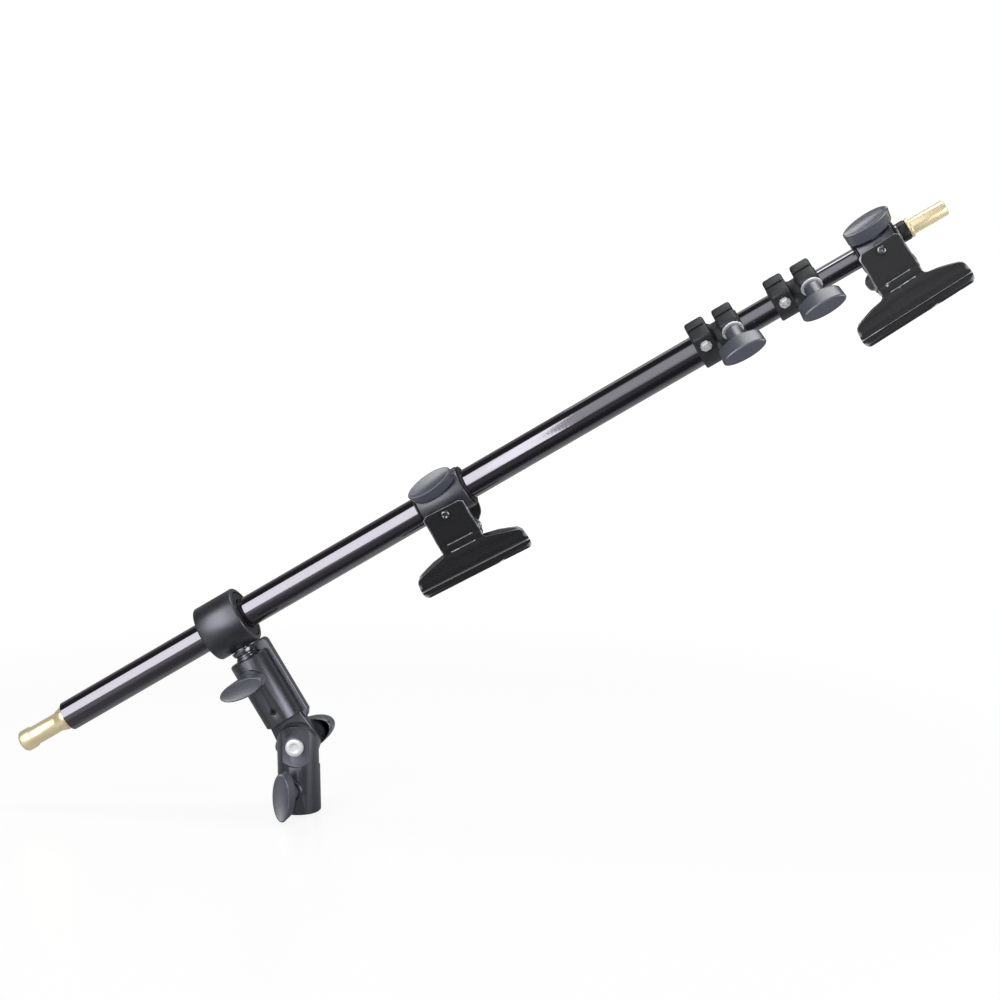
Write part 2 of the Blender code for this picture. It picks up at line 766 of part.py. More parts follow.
# Tube locks, in a frame whose X is the boom and whose Z is the direction of the ears
def lock_body(outer, inner):
    """A moulded double clamp: a ring on each tube, each with a split pair of ears."""
    big_end = LOCK_BIG_LENGTH
    small_start = big_end + LOCK_NECK_LENGTH
    small_end = small_start + LOCK_SMALL_LENGTH
    big = outer + LOCK_WALL
    small = inner + LOCK_WALL + 0.2
    # The shoulder gets longer where the step between the tubes gets deeper, so its wall holds
    step = (big - 0.9) - (small - 0.4)
    shoulder = max(LOCK_SHOULDER_LENGTH, step / LOCK_SHOULDER_SLOPE)
    shell = turned(
        [
            (big - 0.8, 0),
            (big, 0.8),
            (big, big_end - 1.0),
            (big - 0.9, big_end),
            (small - 0.4, big_end + shoulder),
            (small - 0.4, small_start),
            (small, small_start + 0.6),
            (small, small_end - 0.8),
            (small - 0.8, small_end),
        ],
        "X",
    )
    ears = []
    cuts = []
    for centre, radius, offset, hole, below in lock_stations(outer, inner):
        outline = [
            (centre - LOCK_EAR_WIDTH / 2, -below),
            (centre + LOCK_EAR_WIDTH / 2, -below),
            (centre + LOCK_EAR_WIDTH / 2, LOCK_EAR_ABOVE),
            (centre - LOCK_EAR_WIDTH / 2, LOCK_EAR_ABOVE),
        ]
        ears.append(prism(outline, radius * 0.4, offset + LOCK_EAR_REACH, "Z", 2.2, 3))
        cuts.append(moved(rod(hole, -40, 40, "Y", 24), Matrix.Translation((centre, 0, offset))))
    # Each ring is slit through its ears, from its open end to short of the neck
    half_slit = LOCK_SLIT / 2
    cuts.append(block((-5, -half_slit, outer * 0.5), (big_end - 1.6, half_slit, outer + 20)))
    cuts.append(
        block(
            (small_start + 0.4, -half_slit, inner * 0.5),
            (small_end + 5, half_slit, outer + 20),
        )
    )
    bolt_offset = lock_stations(outer, inner)[0][2]
    spot_face = rod(BOLT_HEAD_RADIUS + GAP * 2, LOCK_EAR_ABOVE, 40, "Y", 20)
    cuts.append(moved(spot_face, Matrix.Translation((LOCK_BIG_LENGTH / 2, 0, bolt_offset))))
    body = join(shell, *ears)
    bores = turned(
        [
            (outer + GAP / 2, -5),
            (outer + GAP / 2, big_end + 1.3),
            (inner + GAP / 2, big_end + 1.31),
            (inner + GAP / 2, small_end + 5),
        ],
        "X",
    )
    return cut(body, bores, *cuts)


def lock_stations(outer, inner):
    """For each ring: seat along the boom, tube radius, screw offset, hole radius, lower ear."""
    bolt_offset = outer + GAP / 2 + BOLT_RADIUS + GAP + 0.5
    knob_offset = inner + GAP / 2 + SCREW_RADIUS + GAP + 0.5
    small_centre = LOCK_BIG_LENGTH + LOCK_NECK_LENGTH + LOCK_SMALL_LENGTH / 2
    return (
        (LOCK_BIG_LENGTH / 2, outer, bolt_offset, BOLT_RADIUS + GAP, LOCK_EAR_BELOW),
        (small_centre, inner, knob_offset, SCREW_RADIUS + GAP, LOCK_EAR_BELOW),
    )


def clamp_bolt(centre, offset, below):
    """The cap screw of the fixed ring, head on the upper ear."""
    head = LOCK_EAR_ABOVE + GAP
    profile = [
        (BOLT_RADIUS, -below - GAP - NUT_HEIGHT - 0.8),
        (BOLT_RADIUS, head),
        (BOLT_HEAD_RADIUS, head),
        (BOLT_HEAD_RADIUS, head + 2.4),
        (BOLT_HEAD_RADIUS - 0.5, head + 3.0),
    ]
    body = turned(profile, "Y", 20)
    return moved(body, Matrix.Translation((centre, 0, offset)))


def clamp_nut(centre, offset, below):
    """The hexagon nut on the lower ear."""
    across = NUT_FLAT / math.cos(math.radians(30))
    start = -below - GAP - NUT_HEIGHT
    body = prism(arc((0, 0), across, 0, 360, 6)[:-1], start, -below - GAP, "Y", 0.35, 1)
    hole = rod(BOLT_RADIUS + GAP / 2, -60, 60, "Y", 16)
    body = cut(body, hole)
    return moved(body, Matrix.Translation((centre, 0, offset)))


def knob_washer(centre, offset, below):
    """The bright washer under the lock knob."""
    body = tube(7.9, SCREW_RADIUS + GAP, -below - GAP - 1.2, -below - GAP, "Y", 16)
    return moved(body, Matrix.Translation((centre, 0, offset)))


# Clips, in a frame whose X is the boom and whose -Y is the jaw's outside
def clip_sleeve(radius, tube_radius, length, rivet_drop, rivet_shift):
    """The clip's sleeve: bored for its bushes, with a pad for the rivet and a knob boss."""
    bore = tube_radius + 2.2
    half = length / 2
    outline = [
        (radius - 0.8, -half),
        (radius, -half + 0.8),
        (radius, half - 0.8),
        (radius - 0.8, half),
    ]
    body = turned(outline, "X")
    pad = moved(
        rod(6.4, tube_radius, radius + PAD_PROUD, "-Y", 20),
        Matrix.Translation((rivet_shift, 0, -rivet_drop)),
    )
    core = rod(bore, -half - 1, half + 1, "X")
    rivet_hole = moved(
        rod(1.9, tube_radius - 4, radius + 6, "-Y", 16),
        Matrix.Translation((rivet_shift, 0, -rivet_drop)),
    )
    knob_hole = rod(SCREW_RADIUS + GAP, 0, radius + 10, "Z", 14)
    knob_hole = moved(knob_hole, Matrix.Rotation(math.radians(90 - CLIP_KNOB_LEAN), 4, "X"))
    body = join(body, pad)
    return cut(body, core, rivet_hole, knob_hole)


def clip_bush(radius, tube_radius, length, side):
    """One flanged nylon bush in the sleeve's end."""
    half = length / 2
    bore = tube_radius + GAP
    outline = [
        (bore, half - 7.0),
        (tube_radius + 1.9, half - 7.0),
        (tube_radius + 1.9, half + GAP),
        (radius - 0.7, half + GAP),
        (radius - 0.7, half + GAP + 1.0),
        (radius - 1.2, half + GAP + 1.4),
        (bore, half + GAP + 1.4),
    ]
    body = ring_of(outline, "X")
    if side < 0:
        body.data.transform(Matrix.Rotation(math.pi, 4, "Z"))
    return body


def sheet(stations, profile, name="sheet"):
    """Bent sheet metal: half-width at each station along the profile, thickened evenly."""
    shape = bmesh.new()
    columns = 4
    rows = []
    for (half, shift), (y, z) in zip(stations, profile):
        row = []
        for k in range(columns + 1):
            x = shift + half * (2 * k / columns - 1)
            row.append(shape.verts.new((x, y, z)))
        rows.append(row)
    for low, high in zip(rows, rows[1:]):
        for k in range(columns):
            shape.faces.new((low[k], low[k + 1], high[k + 1], high[k]))
    made = mesh_object(name, shape)
    bpy.context.scene.collection.objects.link(made)
    thick = made.modifiers.new("sheet", "SOLIDIFY")
    thick.thickness = SHEET
    thick.offset = 0
    thick.use_even_offset = True
    bpy.context.view_layer.update()
    depsgraph = bpy.context.evaluated_depsgraph_get()
    data = bpy.data.meshes.new_from_object(made.evaluated_get(depsgraph))
    bpy.data.objects.remove(made, do_unlink=True)
    return bpy.data.objects.new(name, data)


def blade_width(drop):
    """The T outline of a jaw: half-width at a distance below the rivet."""
    flare = [
        (JAW_FLARE, JAW_NECK_HALF),
        (JAW_FLARE + 1.6, JAW_NECK_HALF + 0.6),
        (JAW_FLARE + 2.6, JAW_NECK_HALF + 2.2),
        (JAW_FLARE + 3.4, JAW_NECK_HALF + 5.0),
        (JAW_FLARE + 7.8, JAW_BLADE_HALF - 6.0),
        (JAW_FLARE + 8.6, JAW_BLADE_HALF - 3.6),
        (JAW_FLARE + 9.8, JAW_BLADE_HALF - 1.9),
        (JAW_FLARE + 12.0, JAW_BLADE_HALF - 0.8),
        (JAW_FLARE + 16.0, JAW_BLADE_HALF - 0.2),
        (JAW_BEAD + 1.0, JAW_BLADE_HALF),
        (JAW_BOTTOM - 2.4, JAW_BLADE_HALF - 0.6),
        (JAW_BOTTOM, JAW_BLADE_HALF - 3.0),
    ]
    if drop <= flare[0][0]:
        return flare[0][1]
    for (d0, w0), (d1, w1) in zip(flare, flare[1:]):
        if drop <= d1:
            return w0 + (w1 - w0) * (drop - d0) / (d1 - d0)
    return flare[-1][1]


def jaw_drops():
    """Stations down a jaw, close where its outline turns."""
    fine = [JAW_FLARE + step for step in (0, 1.6, 2.6, 3.4, 7.8, 8.6, 9.8, 12.0, 16.0)]
    return fine + [JAW_BEAD, JAW_BOTTOM - 2.4, JAW_BOTTOM]


def front_jaw(plate, rivet_drop):
    """The front jaw: neck with cut corners and side flanges, ribs, T blade and turned-in lip."""
    middle = plate - SHEET / 2
    drops = [-JAW_TOP, -JAW_TOP + 2.2, 0.0, 12.0] + jaw_drops()
    stations = []
    profile = []
    lip = math.radians(JAW_LIP_ANGLE)
    for drop in drops:
        half = blade_width(drop)
        if drop == -JAW_TOP:
            half = JAW_NECK_HALF - 3.0
        y = middle
        z = -drop
        if drop > JAW_BEAD:
            y = middle + (drop - JAW_BEAD) * math.sin(lip)
            z = -JAW_BEAD - (drop - JAW_BEAD) * math.cos(lip)
        stations.append((half, 0))
        profile.append((y, z))
    body = sheet(stations, profile)
    flange_outline = [
        (plate - SHEET * 0.7, -3.5),
        (plate + 0.5, -3.5),
        (plate + 2.0, -PIN_DROP + 9.0),
    ]
    flange_outline += arc((plate + PIN_BEHIND, -PIN_DROP), 3.6, 120, -60, 10)
    flange_outline += [(plate + 2.2, -JAW_FLARE - 1.4), (plate - SHEET * 0.7, -JAW_FLARE - 1.4)]
    flanges = []
    for side in (-1, 1):
        inner, outer = sorted((side * (JAW_NECK_HALF - SHEET), side * JAW_NECK_HALF))
        flanges.append(prism(flange_outline, inner, outer, "X"))
    ribs = []
    for drop in (21.4, 27.6):
        ribs.append(
            block((-9.2, middle - SHEET / 2 - 0.55, -drop - 0.7), (9.2, middle, -drop + 0.7), 0.25, 1)
        )
    hole = rod(RIVET_RADIUS * 0.6 + 0.2, 0, 60, "-Y", 16)
    pin_hole = moved(
        rod(PIN_RADIUS + GAP / 2, -30, 30, "X", 14),
        Matrix.Translation((0, plate + PIN_BEHIND, -PIN_DROP)),
    )
    body = join(body, *flanges, *ribs)
    body = cut(body, hole, pin_hole)
    return body


def rear_profile(plate):
    """The rear jaw's side line: finger tab, hinge bend, blade and foot, from the tab down."""
    pin_y = plate + PIN_BEHIND
    pin_z = -PIN_DROP
    foot_y = plate + (JAW_BOTTOM - JAW_BEAD) * math.sin(math.radians(JAW_LIP_ANGLE)) + SHEET / 2 + 0.1
    return [
        (pin_y + 33.0, pin_z + 8.5),
        (pin_y + 31.5, pin_z + 5.8),
        (pin_y + 28.5, pin_z + 3.2),
        (pin_y + 24.0, pin_z + 1.2),
        (pin_y + 18.0, pin_z - 0.8),
        (pin_y + 10.0, pin_z - 2.2),
        (pin_y + 3.5, pin_z - 3.6),
        (pin_y + 0.3, pin_z - 5.6),
        (pin_y - 1.6, pin_z - 9.6),
        (pin_y - 2.8, pin_z - 11.4),
        (pin_y - 3.8, pin_z - 13.4),
        (pin_y - 4.8, pin_z - 16.2),
        (pin_y - 5.4, pin_z - 19.0),
        (pin_y - 5.7, pin_z - 22.4),
        (foot_y + 0.7, -JAW_BEAD - 2.2),
        (foot_y, -JAW_BOTTOM + 2.2),
        (foot_y - 0.1, -JAW_BOTTOM + 0.6),
    ]


def rear_jaw(plate):
    """The rear jaw: rounded finger tab, hinge ears round the pin and a T blade."""
    profile = rear_profile(plate)
    neck = JAW_NECK_HALF - SHEET - 0.9
    stations = [
        (TAB_HALF - 5.0, 0),
        (TAB_HALF - 1.6, 0),
        (TAB_HALF, 0),
        (TAB_HALF, 0),
        (TAB_HALF - 1.2, 0),
        (neck, 0),
        (neck - 0.3, 0),
        (neck - 0.3, 0),
    ]
    for y, z in profile[len(stations):]:
        stations.append((blade_width(-z) - 0.6, 0))
    body = sheet(stations, profile)
    pin = (plate + PIN_BEHIND, -PIN_DROP)
    ear_outline = arc(pin, 3.3, 20, 160, 8)
    ear_outline += [(pin[0] - 2.6, pin[1] - 8.4), (pin[0] + 0.2, pin[1] - 5.8)]
    ear_outline += [(pin[0] + 7.6, pin[1] - 2.6)]
    ears = []
    for side in (-1, 1):
        inner, outer = sorted((side * (neck - 0.3 - SHEET), side * (neck - 0.3)))
        ears.append(prism(ear_outline, inner, outer, "X"))
    hole = moved(rod(PIN_RADIUS + GAP / 2, -30, 30, "X", 14), Matrix.Translation((0, *pin)))
    body = join(body, *ears)
    return cut(body, hole)


def hinge_pin(plate):
    """The pin with peened heads outside the front jaw's flanges."""
    half = JAW_NECK_HALF + GAP
    profile = [
        (PIN_RADIUS + 0.5, -half - 1.0),
        (PIN_RADIUS + 0.9, -half - 0.6),
        (PIN_RADIUS + 0.9, -half),
        (PIN_RADIUS, -half),
        (PIN_RADIUS, half),
        (PIN_RADIUS + 0.9, half),
        (PIN_RADIUS + 0.9, half + 0.6),
        (PIN_RADIUS + 0.5, half + 1.0),
    ]
    body = turned(profile, "X", 14)
    return moved(body, Matrix.Translation((0, plate + PIN_BEHIND, -PIN_DROP)))


def jaw_spring(plate):
    """The torsion spring: a coil round the pin with a leg up the front plate and one behind."""
    turns = 5
    steps = 10
    pitch = COIL_WIRE * 2 + 0.35
    coil = COIL_RADIUS - COIL_WIRE
    centre = (plate + PIN_BEHIND, -PIN_DROP)
    start = -pitch * turns / 2
    points = [(start, centre[0] - coil, centre[1] + 11.0)]
    for i in range(turns * steps + 1):
        angle = math.pi - math.tau * i / steps
        points.append(
            (
                start + pitch * i / steps,
                centre[0] + coil * math.cos(angle),
                centre[1] + coil * math.sin(angle),
            )
        )
    last = points[-1]
    points.append((last[0], last[1] + 0.2, last[2] + 3.0))
    points.append((last[0], last[1] + 5.5, last[2] + 5.2))
    line = bpy.data.curves.new("spring", "CURVE")
    line.dimensions = "3D"
    line.bevel_depth = COIL_WIRE
    line.bevel_resolution = 1
    line.use_fill_caps = True
    path = line.splines.new("POLY")
    path.points.add(len(points) - 1)
    for point, at in zip(path.points, points):
        point.co = (*at, 1)
    wire = bpy.data.objects.new("spring", line)
    bpy.context.scene.collection.objects.link(wire)
    bpy.context.view_layer.update()
    depsgraph = bpy.context.evaluated_depsgraph_get()
    data = bpy.data.meshes.new_from_object(wire.evaluated_get(depsgraph))
    bpy.data.objects.remove(wire, do_unlink=True)
    return bpy.data.objects.new("spring", data)


def rivet(plate, sleeve_radius):
    """The rivet that holds the front jaw, a hollow-set head outside the plate."""
    outside = -plate + SHEET + GAP
    profile = [
        (1.6, sleeve_radius - 4.5),
        (1.6, outside),
        (RIVET_RADIUS, outside),
        (RIVET_RADIUS, outside + 0.7),
        (RIVET_RADIUS - 0.9, outside + 1.4),
        (1.5, outside + 1.2),
        (0.9, outside + 0.7),
    ]
    return turned(profile, "-Y", 20)


# Placing everything
head = frame_of((0, 0, 0))
hinge = frame_of(PIVOT)
upper = frame_of(PIVOT, BOOM_ANGLE)
hub = boom_frame(0)

node("lower_receiver", lower_receiver(), "satin_cast", head)
node("upper_receiver", upper_receiver(), "satin_cast", upper)
node("upper_set_screw", moved(set_screw(), Matrix.Translation((0, 0, SET_SCREW_UP))), "nylon", upper)
node("tilt_friction_disc", friction_disc(), "steel", hinge)
node("tilt_bolt", pivot_bolt(), "steel", hinge)
node("tilt_washer", rear_washer(), "steel", hinge)
behind = hinge @ Matrix.Translation((0, (EAR_BACK + 2.0) * MM, 0))
lay_back = Matrix.Rotation(math.radians(-90), 4, "X") @ Matrix.Rotation(math.radians(-27), 4, "Z")
node("tilt_knob", rear_knob(), "knob_plastic", behind @ lay_back)

for label, place, radius, height, spin in (
    ("lower", head, LOWER_RADIUS, LOWER_SCREW_HEIGHT, 90),
    ("upper", upper, UPPER_RADIUS, UPPER_SCREW_UP, -4),
):
    seat = place @ Matrix.Rotation(math.radians(GRIP_TURN), 4, "Z")
    seat = seat @ Matrix.Translation((0, 0, height * MM))
    base = radius + GRIP_BOSS_REACH + GAP
    at = knob_frame(seat, 0, base, spin)
    node(label + "_grip_knob", oval_knob(6.5), "knob_plastic", at)
    node(label + "_grip_screw", screw_pin(SOCKET_RADIUS + 0.2 - base, 13.0), "steel", at)

node("swivel_stud", swivel_stud(), "dark_steel", hub)
node("swivel_collar", collar(), "satin_cast", hub)
node("collar_bush", collar_bush(), "nylon", hub)
node("main_tube", main_tube(), "gloss_tube", hub)
node("rear_spigot", rear_spigot(), "brass", hub)
node("middle_tube", middle_tube(), "gloss_tube", hub)
node("middle_glide", glide(MAIN_RADIUS - TUBE_WALL, MIDDLE_RADIUS, MIDDLE_START), "nylon", hub)
node("inner_tube", inner_tube(), "gloss_tube", hub)
node("inner_glide", glide(MIDDLE_RADIUS - TUBE_WALL, INNER_RADIUS, INNER_START), "nylon", hub)
node("front_cap", front_cap(), "nylon", hub)
node("front_stud", front_stud(), "brass", hub)

for label, start, outer, inner in (
    ("lock1", LOCK_ONE_START, MAIN_RADIUS, MIDDLE_RADIUS),
    ("lock2", LOCK_TWO_START, MIDDLE_RADIUS, INNER_RADIUS),
):
    # The local Z is the ears' direction and the local -Y is the screws' direction, down and out
    seat = boom_frame(start, 90 - LOCK_EAR_LEAN)
    bolt, screw = lock_stations(outer, inner)
    node(label + "_body", lock_body(outer, inner), "lock_plastic", seat)
    node(label + "_bolt", clamp_bolt(bolt[0], bolt[2], bolt[4]), "steel", seat)
    node(label + "_nut", clamp_nut(bolt[0], bolt[2], bolt[4]), "steel", seat)
    node(label + "_washer", knob_washer(screw[0], screw[2], screw[4]), "steel", seat)
    base = screw[4] + GAP * 2 + 1.2
    at = seat @ Matrix.Translation((screw[0] * MM, 0, screw[2] * MM))
    at = knob_frame(at, 0, base, 0)
    node(label + "_knob", oval_knob(11.0, 12.5, 16.5), "knob_plastic", at)
    node(label + "_screw", screw_pin(-base - LOCK_EAR_ABOVE + 0.5, 17.0), "steel", at)

CLIPS = {
    "clip1": (CLIP_ONE_SEAT, CLIP_ONE_SLEEVE, MAIN_RADIUS, CLIP_ONE_LENGTH),
    "clip2": (CLIP_TWO_SEAT, CLIP_TWO_SLEEVE, INNER_RADIUS, CLIP_TWO_LENGTH),
}
for label, turn, drop, shift, swing in (
    ("clip1", CLIP_ONE_TURN, CLIP_ONE_DROP, CLIP_ONE_SHIFT, CLIP_ONE_SWING),
    ("clip2", CLIP_TWO_TURN, CLIP_TWO_DROP, CLIP_TWO_SHIFT, CLIP_TWO_SWING),
):
    along, radius, tube_radius, length = CLIPS[label]
    seat = boom_frame(along, turn)
    plate = -radius - PAD_PROUD - GAP
    sleeve = clip_sleeve(radius, tube_radius, length, drop, shift)
    node(label + "_sleeve", sleeve, "satin_cast", seat)
    node(label + "_bush_rear", clip_bush(radius, tube_radius, length, -1), "nylon", boom_frame(along))
    node(label + "_bush_front", clip_bush(radius, tube_radius, length, 1), "nylon", boom_frame(along))
    base = radius + GAP
    at = knob_frame(seat, CLIP_KNOB_LEAN, base, 6)
    node(label + "_knob", oval_knob(1.6, 12.0), "knob_plastic", at)
    node(label + "_screw", screw_pin(tube_radius + 0.2 - base, 7.6), "steel", at)
    jaw_seat = seat @ Matrix.Translation((shift * MM, 0, -drop * MM))
    node(label + "_rivet", rivet(plate, radius), "dark_steel", jaw_seat)
    jaw_seat = jaw_seat @ Matrix.Rotation(math.radians(swing), 4, "Y")
    node(label + "_front_jaw", front_jaw(plate, drop), "black_sheet", jaw_seat)
    node(label + "_rear_jaw", rear_jaw(plate), "black_sheet", jaw_seat)
    node(label + "_pin", hinge_pin(plate), "steel", jaw_seat)
    node(label + "_spring", jaw_spring(plate), "steel", jaw_seat)
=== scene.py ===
"""Looks of the telescopic boom arm: finishes, refined pieces, studio and camera."""
import math

import bmesh
import bpy
from mathutils import Matrix, Vector


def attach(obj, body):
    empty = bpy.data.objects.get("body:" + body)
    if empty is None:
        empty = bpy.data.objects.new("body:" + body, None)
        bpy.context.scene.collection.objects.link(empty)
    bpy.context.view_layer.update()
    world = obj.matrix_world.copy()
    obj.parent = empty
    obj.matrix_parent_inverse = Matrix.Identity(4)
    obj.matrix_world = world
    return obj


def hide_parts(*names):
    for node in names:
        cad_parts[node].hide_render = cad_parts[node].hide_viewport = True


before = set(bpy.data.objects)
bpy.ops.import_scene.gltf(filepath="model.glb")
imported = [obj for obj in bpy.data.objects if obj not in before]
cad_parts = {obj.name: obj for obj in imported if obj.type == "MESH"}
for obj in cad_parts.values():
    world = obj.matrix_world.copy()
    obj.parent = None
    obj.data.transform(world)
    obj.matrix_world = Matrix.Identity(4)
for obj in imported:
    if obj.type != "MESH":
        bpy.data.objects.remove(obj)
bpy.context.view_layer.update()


# Studio
# A white sweep under broad softboxes, as for a catalogue picture.  The floor is a white sheet of
# gloss acrylic, which shows a faint reflection of the receiver that stands on it.
def linear(colour):
    """An sRGB hex colour as the linear RGBA that the shaders take."""
    channels = [int(colour[i : i + 2], 16) / 255 for i in (1, 3, 5)]
    channels = [c / 12.92 if c <= 0.04045 else ((c + 0.055) / 1.055) ** 2.4 for c in channels]
    return (*channels, 1.0)


def add_node(tree, kind, settings=None, links=None):
    """A node with its settings, input values and incoming links."""
    made = tree.nodes.new(kind)
    for key, value in (settings or {}).items():
        if hasattr(made, str(key)):
            setattr(made, key, value)
        else:
            made.inputs[key].default_value = value
    for key, socket in (links or {}).items():
        tree.links.new(socket, made.inputs[key])
    return made


BOOM_ANGLE = math.radians(30)
BOOM_AXIS = Vector((math.cos(BOOM_ANGLE), 0, math.sin(BOOM_ANGLE)))

world = bpy.data.worlds.new("studio")
bpy.context.scene.world = world
world.use_nodes = True
sky = world.node_tree
sky.nodes.clear()
ray = add_node(sky, "ShaderNodeLightPath")
way = add_node(sky, "ShaderNodeTexCoord")
along = add_node(sky, "ShaderNodeSeparateXYZ", {}, {0: way.outputs["Generated"]})
# Gloss shows the white sweep behind the object and the dim studio on the camera's side
sweep = add_node(
    sky,
    "ShaderNodeMapRange",
    {"From Min": 0.3, "From Max": 0.8, "To Min": 0.0, "To Max": 0.25},
    {"Value": along.outputs["Y"]},
)
shine = add_node(
    sky,
    "ShaderNodeMath",
    {"operation": "MULTIPLY"},
    {0: ray.outputs["Is Glossy Ray"], 1: sweep.outputs[0]},
)
seen = add_node(
    sky,
    "ShaderNodeMath",
    {"operation": "MAXIMUM"},
    {0: ray.outputs["Is Camera Ray"], 1: ray.outputs["Is Transmission Ray"]},
)
seen = add_node(
    sky, "ShaderNodeMath", {"operation": "MAXIMUM"}, {0: seen.outputs[0], 1: shine.outputs[0]}
)
# The studio's walls give a low even fill; in gloss they are darker, with a glow round the key
room = add_node(
    sky,
    "ShaderNodeVectorMath",
    {"operation": "DOT_PRODUCT", 1: (-0.258, -0.862, 0.436)},
    {0: way.outputs["Generated"]},
)
glow = add_node(
    sky,
    "ShaderNodeMapRange",
    {"From Min": 0.7, "From Max": 0.95, "To Min": 0.05, "To Max": 0.45},
    {"Value": room.outputs["Value"]},
)
level = add_node(
    sky,
    "ShaderNodeMix",
    {"data_type": "FLOAT", 2: 0.16},
    {0: ray.outputs["Is Glossy Ray"], 3: glow.outputs[0]},
)
dim = add_node(
    sky, "ShaderNodeBackground", {"Color": linear("#ffffff")}, {"Strength": level.outputs[0]}
)
white = add_node(sky, "ShaderNodeBackground", {"Color": linear("#ffffff"), "Strength": 1.0})
mixed = add_node(
    sky,
    "ShaderNodeMixShader",
    {},
    {0: seen.outputs[0], 1: dim.outputs[0], 2: white.outputs[0]},
)
add_node(sky, "ShaderNodeOutputWorld", {}, {"Surface": mixed.outputs[0]})

FLOOR_HEIGHT = -0.0004
floor_shape = bmesh.new()
bmesh.ops.create_grid(floor_shape, x_segments=1, y_segments=1, size=40.0)
bmesh.ops.translate(floor_shape, verts=floor_shape.verts, vec=(0, 0, FLOOR_HEIGHT))
floor_mesh = bpy.data.meshes.new("floor")
floor_shape.to_mesh(floor_mesh)
floor_shape.free()
floor = bpy.data.objects.new("floor", floor_mesh)
bpy.context.scene.collection.objects.link(floor)

# Most of what the camera sees of the sheet is its lit white; the rest takes the shadow, and a
# clear top face gives the mirror image
acrylic = bpy.data.materials.new("white acrylic sheet")
acrylic.use_nodes = True
tree = acrylic.node_tree
tree.nodes.clear()
ray = add_node(tree, "ShaderNodeLightPath")
seen = add_node(
    tree,
    "ShaderNodeMath",
    {"operation": "MAXIMUM"},
    {0: ray.outputs["Is Camera Ray"], 1: ray.outputs["Is Transmission Ray"]},
)
seen = add_node(
    tree,
    "ShaderNodeMath",
    {"operation": "MAXIMUM"},
    {0: seen.outputs[0], 1: ray.outputs["Is Glossy Ray"]},
)
place = add_node(tree, "ShaderNodeTexCoord")
along = add_node(tree, "ShaderNodeSeparateXYZ", {}, {0: place.outputs["Object"]})
# Gloss sees the sheet's white behind the object, and the dark studio floor in front of it
behind = add_node(
    tree,
    "ShaderNodeMapRange",
    {"From Min": -0.1, "From Max": 0.15, "To Min": 0.0, "To Max": 0.3},
    {"Value": along.outputs["Y"]},
)
front = add_node(
    tree,
    "ShaderNodeMath",
    {"operation": "SUBTRACT"},
    {0: ray.outputs["Is Glossy Ray"], 1: behind.outputs[0]},
)
front.use_clamp = True
lit = add_node(
    tree, "ShaderNodeMath", {"operation": "SUBTRACT"}, {0: seen.outputs[0], 1: front.outputs[0]}
)
share = add_node(tree, "ShaderNodeMath", {"operation": "MULTIPLY", 1: 0.88}, {0: lit.outputs[0]})
tone = add_node(
    tree,
    "ShaderNodeMix",
    {"data_type": "RGBA", 6: linear("#f4f4f4"), 7: linear("#2c2c2e")},
    {0: front.outputs[0]},
)
matt = add_node(tree, "ShaderNodeBsdfDiffuse", {}, {"Color": tone.outputs[2]})
# The lamps light the sheet round the object; farther out its own white makes up for them
reach = add_node(
    tree, "ShaderNodeVectorMath", {"operation": "LENGTH"}, {0: place.outputs["Object"]}
)
far = add_node(
    tree,
    "ShaderNodeMapRange",
    {"From Min": 0.5, "From Max": 1.6, "To Min": 1.13, "To Max": 1.32},
    {"Value": reach.outputs["Value"]},
)
lift = add_node(
    tree, "ShaderNodeEmission", {"Color": linear("#ffffff")}, {"Strength": far.outputs[0]}
)
pale = add_node(
    tree,
    "ShaderNodeMixShader",
    {},
    {0: share.outputs[0], 1: matt.outputs[0], 2: lift.outputs[0]},
)
clear = add_node(tree, "ShaderNodeBsdfGlossy", {"Color": linear("#ffffff"), "Roughness": 0.3})
face = add_node(tree, "ShaderNodeMixShader", {0: 0.13}, {1: pale.outputs[0], 2: clear.outputs[0]})
add_node(tree, "ShaderNodeOutputMaterial", {}, {"Surface": face.outputs[0]})
floor_mesh.materials.append(acrylic)

# The key is a long strip box beside the boom, so that the tubes show one clean band.  The
# others fill from above, from the right and from behind.
CENTRE = Vector((0.2, 0.0, 0.22))
for name, away, distance, width, length, power in (
    ("strip_key", (-0.56, -0.81, 0.19), 1.9, 2.9, 1.15, 31),
    ("box_top", (0.1, 0.1, 1.0), 1.4, 0.5, 1.4, 9),
    ("strip_fade", (-0.11, -0.874, 0.47), 1.9, 2.9, 1.2, 7),
    ("box_right", (0.9, -0.42, 0.08), 1.5, 1.0, 1.2, 13),
    ("box_back", (0.0, 1.0, 1.3), 1.5, 0.7, 1.6, 1.5),
):
    away = Vector(away).normalized()
    upright = (BOOM_AXIS - away * BOOM_AXIS.dot(away)).normalized()
    lamp = bpy.data.lights.new(name, "AREA")
    lamp.shape = "RECTANGLE"
    lamp.size, lamp.size_y = width, length
    lamp.energy = power
    box = bpy.data.objects.new(name, lamp)
    axes = Matrix((upright.cross(away), upright, away)).transposed().to_4x4()
    box.matrix_world = Matrix.Translation(CENTRE + away * distance) @ axes
    bpy.context.scene.collection.objects.link(box)

